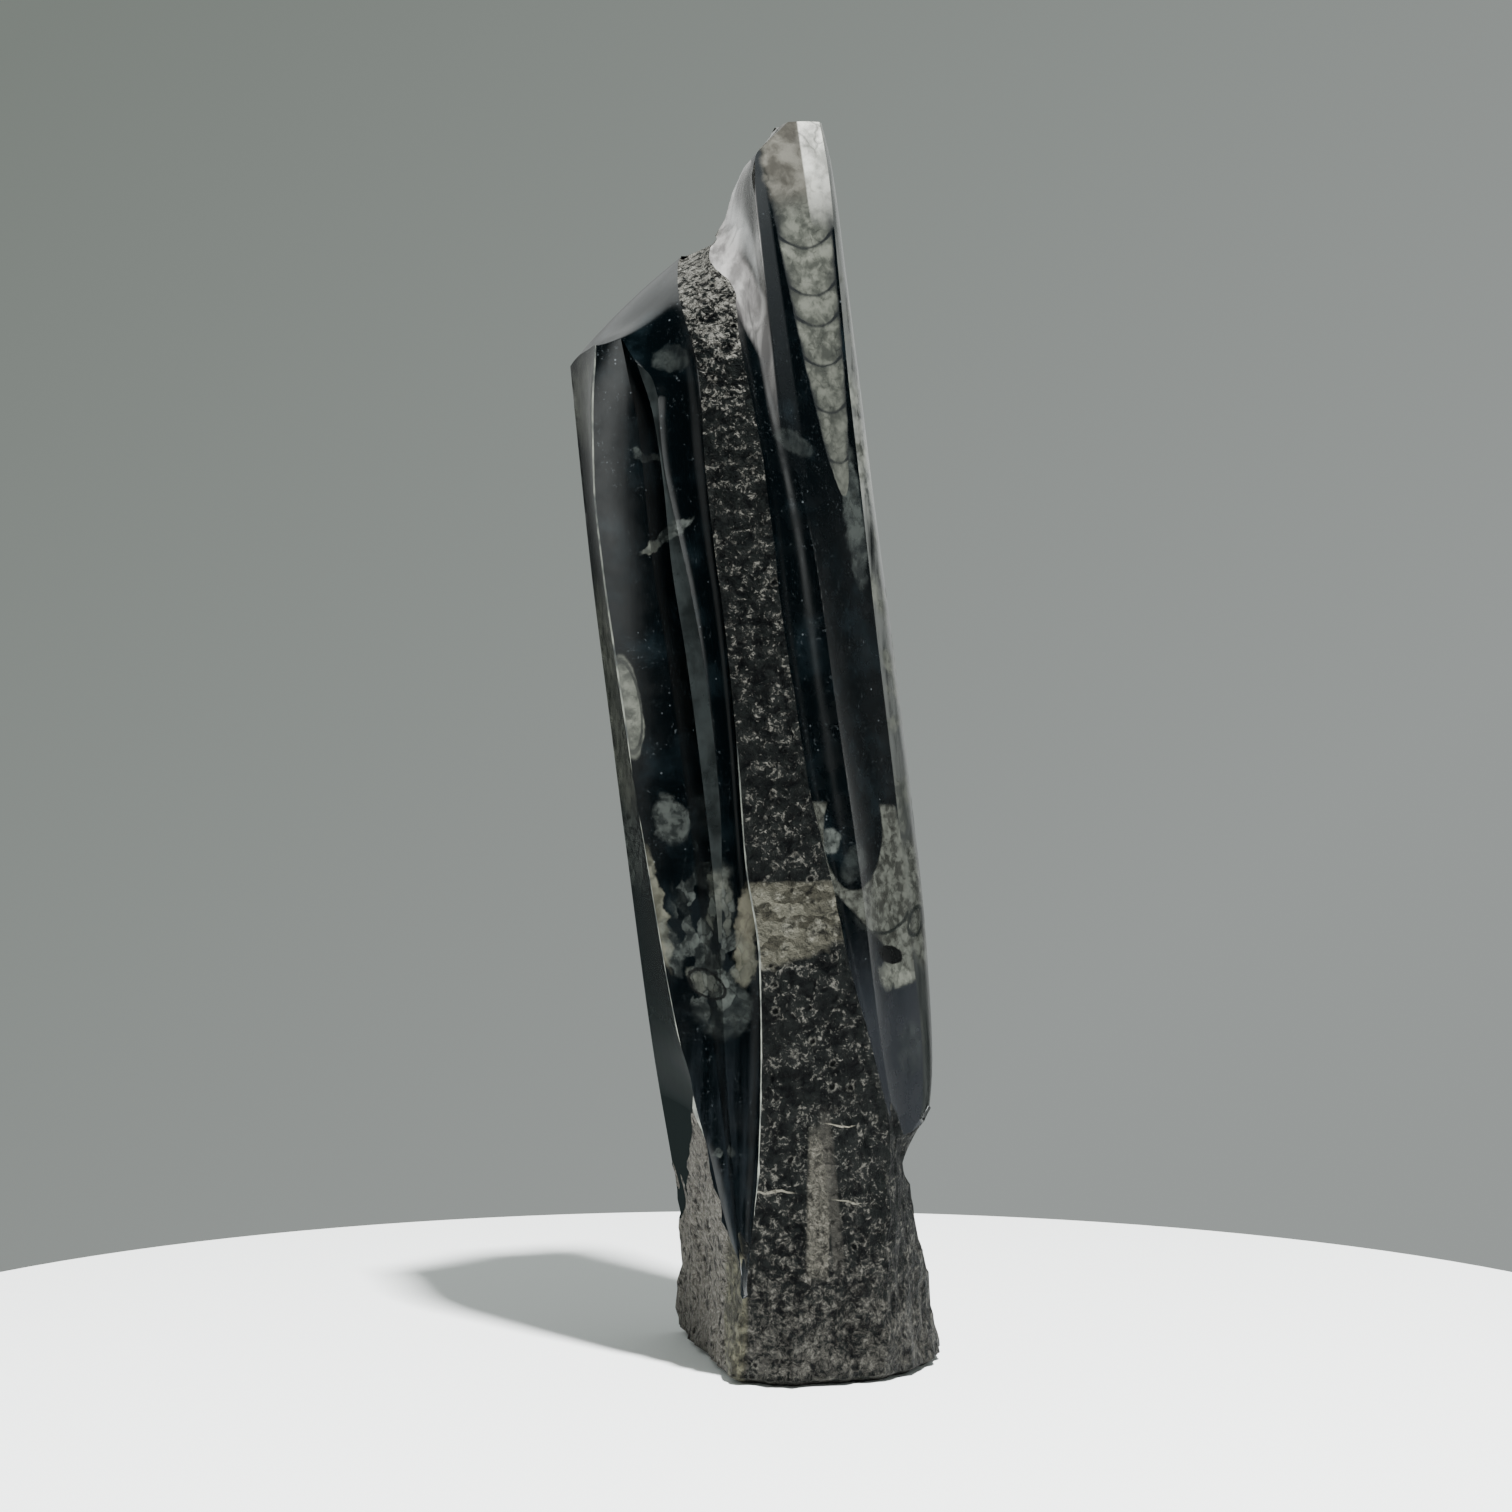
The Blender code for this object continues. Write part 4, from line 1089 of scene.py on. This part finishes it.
def rough_skin(settings):
    """Natural broken limestone: dull, almost black, pitted, with crumbs, rings and veins of shell. The
    front band crosses a patch of cream calcite. Painted light and shade: the raised lumps and the top of
    the band are paler, and the pits and holes near black."""
    name, roughness, mirror = FINISHES["rough skin"]
    tree = new_material(name)
    place = stone_place(tree)
    foot = past_height(tree, place, 75.0, 10.0)
    lit_crest = past_height(tree, place, 312.0, 376.0)
    wavy = shaken(tree, place, 4.0, 2.2)
    lumps = add(tree, "TexNoise", {"Vector": wavy, "Scale": 0.3, "Detail": 5.0, "Roughness": 0.62})
    # painted light: the skin is paler on its raised lumps and darker between them
    lit_lumps = add(tree, "MapRange", {0: lumps, 1: 0.4, 2: 0.65})
    colour = lay(tree, "07090a", (*settings.skin, 1.0), lit_lumps)
    # crumbs of shell in loose clumps, thickest at the top of the band and in the base; at the top of the
    # band they are painted paler, as painted light where it faces up
    clump = blotches(tree, wavy, 5.0, 0.43, 0.6)
    grain = add(tree, "TexNoise", {"Vector": wavy, "Scale": 0.72, "Detail": 6.0, "Roughness": 0.7})
    colour = lay(tree, colour, "1f2120", clump, 0.7)
    for more, tone, strength in (
        (0.0, (*settings.crumbs, 1.0), 0.85),
        (lit_crest, "777670", 0.85),
        (foot, "504e49", 0.6),
    ):
        low = add(tree, "MapRange", {0: more, 3: 0.64, 4: 0.47})
        near = add(tree, "Math", {0: clump, 1: -0.11, 2: low}, operation="MULTIPLY_ADD")
        over = add(tree, "Math", {0: grain, 1: near}, operation="SUBTRACT")
        colour = lay(tree, colour, tone, add(tree, "MapRange", {0: over, 1: -0.02, 2: 0.13}), strength)
    # small shells broken across, each a ragged ring round a sunken middle that is painted dark below as
    # shade
    bent = shaken(tree, place, 2.0, 1.0)
    cell = add(tree, "TexVoronoi", {"Vector": bent, "Scale": 1 / 6.5})
    pick = add(tree, "SeparateColor", {0: cell.node.outputs[1]})
    chosen = add(tree, "MapRange", {0: pick, 1: 0.72, 2: 0.76})
    band = meet(
        tree,
        add(tree, "MapRange", {0: cell, 1: 0.13, 2: 0.2}),
        add(tree, "MapRange", {0: cell, 1: 0.3, 2: 0.22}),
        add(tree, "MapRange", {0: grain, 1: 0.4, 2: 0.56}),
    )
    colour = lay(tree, colour, "63625c", meet(tree, chosen, band), 0.7)
    hole = meet(tree, chosen, add(tree, "MapRange", {0: cell, 1: 0.15, 2: 0.08}))
    # the calcite patch across the band, split along its cleavage
    loose = shaken(tree, place, 5.0, 3.0)
    sheets = add(tree, "VectorMath", {0: loose, 1: (0.07, 0.07, 0.2)}, operation="MULTIPLY")
    blocks = add(tree, "TexVoronoi", {"Vector": sheets, "Scale": 1.0}, out=1)
    block = add(tree, "SeparateColor", {0: blocks})
    warm = lay(tree, "33322b", "5c5b51", add(tree, "MapRange", {0: block, 1: 0.1, 2: 0.9}))
    warm = lay(tree, warm, "7a796f", blotches(tree, place, 4.0, 0.5, 0.72), 0.7)
    warm = lay(tree, warm, "2b2a25", blotches(tree, loose, 6.0, 0.58, 0.7), 0.7)
    across_band = meet(
        tree,
        half_plane(tree, loose, (30, 146), (-6, 134), 2.0),
        half_plane(tree, shaken(tree, place, 4.0, 0.8), (-20, 165.3), (40, 166.3), 0.8),
    )
    colour = lay(tree, colour, warm, across_band)
    # plates of brown calcite in the base, and thin white veins
    brown = lay(tree, "33322e", "66645c", add(tree, "MapRange", {0: grain, 1: 0.38, 2: 0.62}))
    straight = shaken(tree, place, 2.0, 0.7)
    bowed = shaken(tree, place, 14.0, 3.0)
    for foot_end, top_end, low, high, wide, tone, strength in (
        ((16.5, 30), (17.5, 88), 34.0, 87.0, 7.2, brown, 0.9),
        ((26.0, 36), (20.8, 90), 36.0, 93.0, 3.6, "3d3c38", 0.75),
    ):
        plate = meet(
            tree,
            half_plane(tree, straight, foot_end, top_end),
            half_plane(tree, straight, (top_end[0] + wide, top_end[1]), (foot_end[0] + wide, foot_end[1])),
            past_height(tree, place, low, low + 6),
            past_height(tree, place, high, high - 8),
        )
        colour = lay(tree, colour, tone, plate, strength)
    for centre, half, lean in (
        ((5.0, -54, 63.0), (8.0, 30, 0.42), 0.06),
        ((29.5, -54, 60.0), (5.0, 30, 0.34), 0.12),
        ((28.0, -54, 85.6), (5.0, 30, 0.3), 0.0),
    ):
        colour = lay(tree, colour, "8b887c", patch(tree, bowed, centre, half, lean, 0.6), 0.75)
    # the left of the base is paler, with a close grain
    side = meet(
        tree,
        add(tree, "MapRange", {0: add(tree, "SeparateXYZ", {0: place}), 1: -6.0, 2: -10.0}),
        past_height(tree, place, 120.0, 90.0),
    )
    pale = lay(tree, "262421", "6f6b64", add(tree, "MapRange", {0: lumps, 1: 0.38, 2: 0.56}))
    pale = lay(tree, pale, "a29e95", add(tree, "MapRange", {0: grain, 1: 0.47, 2: 0.64}), 0.85)
    colour = lay(tree, colour, pale, side, 0.9)
    corner = patch(tree, straight, (-7.0, -46, 22), (4.4, 24, 27), 0.0, 0.4)
    yellow = lay(tree, "3d3c33", "7c7a67", blotches(tree, place, 5.0, 0.4, 0.66))
    colour = lay(tree, colour, yellow, corner, 0.9)
    # painted shade: the holes in the small shells, and the pits, are painted near black
    colour = lay(tree, colour, "020303", hole, 0.9)
    pit = add(tree, "MapRange", {0: lumps, 1: 0.47, 2: 0.34})
    colour = lay(tree, colour, "040506", pit, 0.8)
    raised = add(tree, "Math", {0: lumps, 1: 4.0, 2: grain}, operation="MULTIPLY_ADD")
    sunk = add(tree, "Math", {0: raised, 1: hole}, operation="SUBTRACT")
    bump = add(tree, "Bump", {"Strength": 1.0, "Distance": 0.0024, "Height": sunk})
    shader = add(tree, "BsdfPrincipled", {
        "Base Color": colour, "Roughness": roughness, "IOR": 1.5,
        "Specular IOR Level": mirror, "Normal": bump,
    })
    add(tree, "OutputMaterial", {0: shader})


# ------------------------------------------------------------------- the stage


# The camera: its sensor and lens in millimetres, its place in metres, and how far
# it looks down, from the horizon's rise and the focal length in pixels.
SENSOR = 36.0
LENS = 84.29
EYE_POINT = (0.0, -1.216, 0.224)
HORIZON_RISE = 50.8
FOCAL_PIXELS = 3540
DIP = math.atan(HORIZON_RISE / FOCAL_PIXELS)


def make_camera():
    """A long lens a little above the middle of the stone, looking very slightly down."""
    camera = bpy.data.cameras.new("camera")
    camera.sensor_width = SENSOR
    camera.lens = LENS
    seat = bpy.data.objects.new("camera", camera)
    bpy.context.scene.collection.objects.link(seat)
    seat.location = EYE_POINT
    seat.rotation_euler = (math.pi / 2 - DIP, 0.0, 0.0)
    bpy.context.scene.camera = seat


def heading(turn, rise):
    """A direction from the stone: degrees to the right of the camera, and upwards."""
    turn, rise = math.radians(turn), math.radians(rise)
    return Vector((math.sin(turn) * math.cos(rise), -math.cos(turn) * math.cos(rise), math.sin(rise)))


# Soft lamps round the studio: turn, rise, inner and outer radius in degrees, brightness.
SOFTBOXES = (
    (18, 15, 1, 13, 2.2),
    (98, 3, 3, 11, 0.3),
    (-72, 3, 3, 15, 0.4),
    (-118, 21, 4, 27, 4.2),
    (-153, 34, 5, 24, 0.5),
    (116, 59, 6, 26, 3.6),
    (152, 8, 5, 24, 0.5),
)


def make_world():
    """A pale wall behind the stone, a dim room in front of it, and soft lamps."""
    world = bpy.data.worlds.new("pale studio")
    bpy.context.scene.world = world
    world.use_nodes = True
    world.cycles.sampling_method = "NONE"
    tree = world.node_tree
    tree.nodes.clear()
    way = add(tree, "TexCoord", {})
    depth = add(tree, "SeparateXYZ", {0: way}, out=1)
    behind = {0: depth, 1: 0.2, 2: 1.0, 3: 0.012, 4: 0.38}
    glow = add(tree, "MapRange", behind, interpolation_type="SMOOTHSTEP")
    upwards = {0: depth.node.outputs[2], 1: -0.06, 2: 0.09, 3: 0.1, 4: 1.0}
    level = add(tree, "MapRange", upwards, interpolation_type="SMOOTHSTEP")
    glow = add(tree, "Math", {0: glow, 1: level}, operation="MULTIPLY")
    for turn, rise, inner, outer, brightness in SOFTBOXES:
        middle = heading(turn, rise)
        near = add(tree, "VectorMath", {0: way, 1: middle}, out=1, operation="DOT_PRODUCT")
        low, high = math.cos(math.radians(outer)), math.cos(math.radians(inner))
        fade = {0: near, 1: low, 2: high, 3: 0.0, 4: brightness}
        lamp = add(tree, "MapRange", fade, interpolation_type="SMOOTHSTEP")
        glow = add(tree, "Math", {0: glow, 1: lamp}, operation="ADD")
    tint = add(tree, "VectorMath", {0: linear("f9fdfb"), 3: glow}, operation="SCALE")
    shade = add(tree, "VectorMath", {0: way, 1: (0.62, 0.0, -0.75)}, out=1, operation="DOT_PRODUCT")
    wall = add(tree, "MapRange", {0: shade, 1: -0.26, 2: 0.12})
    backdrop = add(tree, "Mix", {0: wall, 6: "7d847e", 7: "9da2a0"}, out=2, data_type="RGBA")
    spread = add(tree, "LightPath", {}, out=2)
    lit = add(tree, "Mix", {0: spread, 6: tint, 7: "bac0bd"}, out=2, data_type="RGBA")
    seen = add(tree, "LightPath", {})
    colour = add(tree, "Mix", {0: seen, 6: lit, 7: backdrop}, out=2, data_type="RGBA")
    add(tree, "OutputWorld", {0: add(tree, "Background", {0: colour, 1: 1.0})})


KEY_PLACE = (0.3, -0.79, 1.85)
KEY_TARGET = (0, 0, 0.15)
KEY_SIZE = 0.11


def make_light(name, place, target, size, watts):
    """A small square lamp that faces a target."""
    light = bpy.data.lights.new(name, "AREA")
    light.size = size
    light.energy = watts
    lamp = bpy.data.objects.new(name, light)
    bpy.context.scene.collection.objects.link(lamp)
    lamp.location = place
    lamp.rotation_euler = (Vector(target) - Vector(place)).to_track_quat("-Z", "Y").to_euler()
    lamp.visible_camera = False
    lamp.visible_glossy = False


FLOOR_THICKNESS = 0.02
FLOOR_EDGE = 0.0015


def make_floor(radius, colour):
    """A round white table top under the stone."""
    bpy.ops.object.select_all(action="DESELECT")
    bpy.ops.mesh.primitive_cylinder_add(
        vertices=128, radius=radius, depth=FLOOR_THICKNESS, location=(0, 0, -FLOOR_THICKNESS / 2)
    )
    floor = bpy.context.object
    floor.name = "floor"
    bpy.ops.object.transform_apply(location=True, rotation=True, scale=True)
    bevel = floor.modifiers.new("edge", "BEVEL")
    bevel.width = FLOOR_EDGE
    bevel.segments = 2
    bpy.ops.object.modifier_apply(modifier=bevel.name)
    # brushed on and never glossed: an even white that keeps the shadow soft
    tree = new_material("plaster, matt white")
    shader = add(tree, "BsdfPrincipled", {"Base Color": (*colour, 1.0), "Roughness": 0.85})
    add(tree, "OutputMaterial", {0: shader})
    floor.data.materials.append(bpy.data.materials["plaster, matt white"])


# ------------------------------------------------------------------ the add-on


class StoneSettings(bpy.types.PropertyGroup):
    """Sizes of the stone's rough skin, and the colours of the stone."""

    base_lumps: FloatProperty(
        name="Base lumps", description="How far the lumps of the base stand out",
        default=0.002, min=0.0, max=0.006, precision=4, unit="LENGTH",
    )
    band_lumps: FloatProperty(
        name="Band lumps", description="How far the lumps of the rough bands stand out",
        default=0.00055, min=0.0, max=0.003, precision=5, unit="LENGTH",
    )
    grain: FloatProperty(
        name="Grain", description="Depth of the fine broken grain of the rough skin",
        default=0.0007, min=0.0, max=0.002, precision=5, unit="LENGTH",
    )
    clouds: FloatVectorProperty(
        name="Polished stone", description="Colour of the faint clouds in the polished stone",
        default=linear("0b1215"), min=0.0, max=1.0, subtype="COLOR",
    )
    skin: FloatVectorProperty(
        name="Rough skin", description="Colour of the rough skin between its crumbs",
        default=linear("161918"), min=0.0, max=1.0, subtype="COLOR",
    )
    crumbs: FloatVectorProperty(
        name="Crumbs", description="Colour of the crumbs of shell in the rough skin",
        default=linear("5f605a"), min=0.0, max=1.0, subtype="COLOR",
    )


class StageSettings(bpy.types.PropertyGroup):
    """The floor and the light."""

    radius: FloatProperty(
        name="Floor radius", description="Radius of the round floor",
        default=0.35, min=0.1, max=2.0, unit="LENGTH",
    )
    floor: FloatVectorProperty(
        name="Floor colour", description="Colour of the floor",
        default=linear("f1f4f3"), min=0.0, max=1.0, subtype="COLOR",
    )
    key: FloatProperty(
        name="Key light", description="Power of the main light",
        default=185.0, min=0.0, unit="POWER",
    )


class FOSSIL_OT_stone(bpy.types.Operator):
    """Makes the stone with its finishes"""

    bl_idname = "fossil.stone"
    bl_label = "Fossil stone"

    def execute(self, context):
        settings = context.scene.fossil_stone
        make_finishes(settings)
        skin = (settings.base_lumps, settings.band_lumps, settings.grain)
        stone = make_stone([size / MM for size in skin])
        if not stone.data.polygons:
            raise RuntimeError("the cuts left nothing of the stone")
        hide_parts("orthoceras_tower")
        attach(stone, "root")
        return {"FINISHED"}


class FOSSIL_OT_stage(bpy.types.Operator):
    """Makes the floor, the light and the camera"""

    bl_idname = "fossil.stage"
    bl_label = "Stage"

    def execute(self, context):
        settings = context.scene.fossil_stage
        make_camera()
        make_world()
        make_floor(settings.radius, settings.floor)
        make_light("key light", KEY_PLACE, KEY_TARGET, KEY_SIZE, settings.key)
        return {"FINISHED"}


class FOSSIL_PT_panel(bpy.types.Panel):
    """The sizes and the colours, and the buttons that make the stone and its stage"""

    bl_idname = "FOSSIL_PT_panel"
    bl_label = "Orthoceras tower"
    bl_space_type = "VIEW_3D"
    bl_region_type = "UI"
    bl_category = "Fossil"

    def draw(self, context):
        layout = self.layout
        for group in (context.scene.fossil_stone, context.scene.fossil_stage):
            for name in group.bl_rna.properties.keys():
                if name not in ("rna_type", "name"):
                    layout.prop(group, name)
        layout.operator("fossil.stone")
        layout.operator("fossil.stage")


CLASSES = (StoneSettings, StageSettings, FOSSIL_OT_stone, FOSSIL_OT_stage, FOSSIL_PT_panel)


def register():
    for kind in CLASSES:
        bpy.utils.register_class(kind)
    bpy.types.Scene.fossil_stone = PointerProperty(type=StoneSettings)
    bpy.types.Scene.fossil_stage = PointerProperty(type=StageSettings)


def unregister():
    del bpy.types.Scene.fossil_stage
    del bpy.types.Scene.fossil_stone
    for kind in reversed(CLASSES):
        bpy.utils.unregister_class(kind)


def main():
    register()
    bpy.ops.fossil.stone()
    bpy.ops.fossil.stage()


if __name__ == "__main__":
    main()
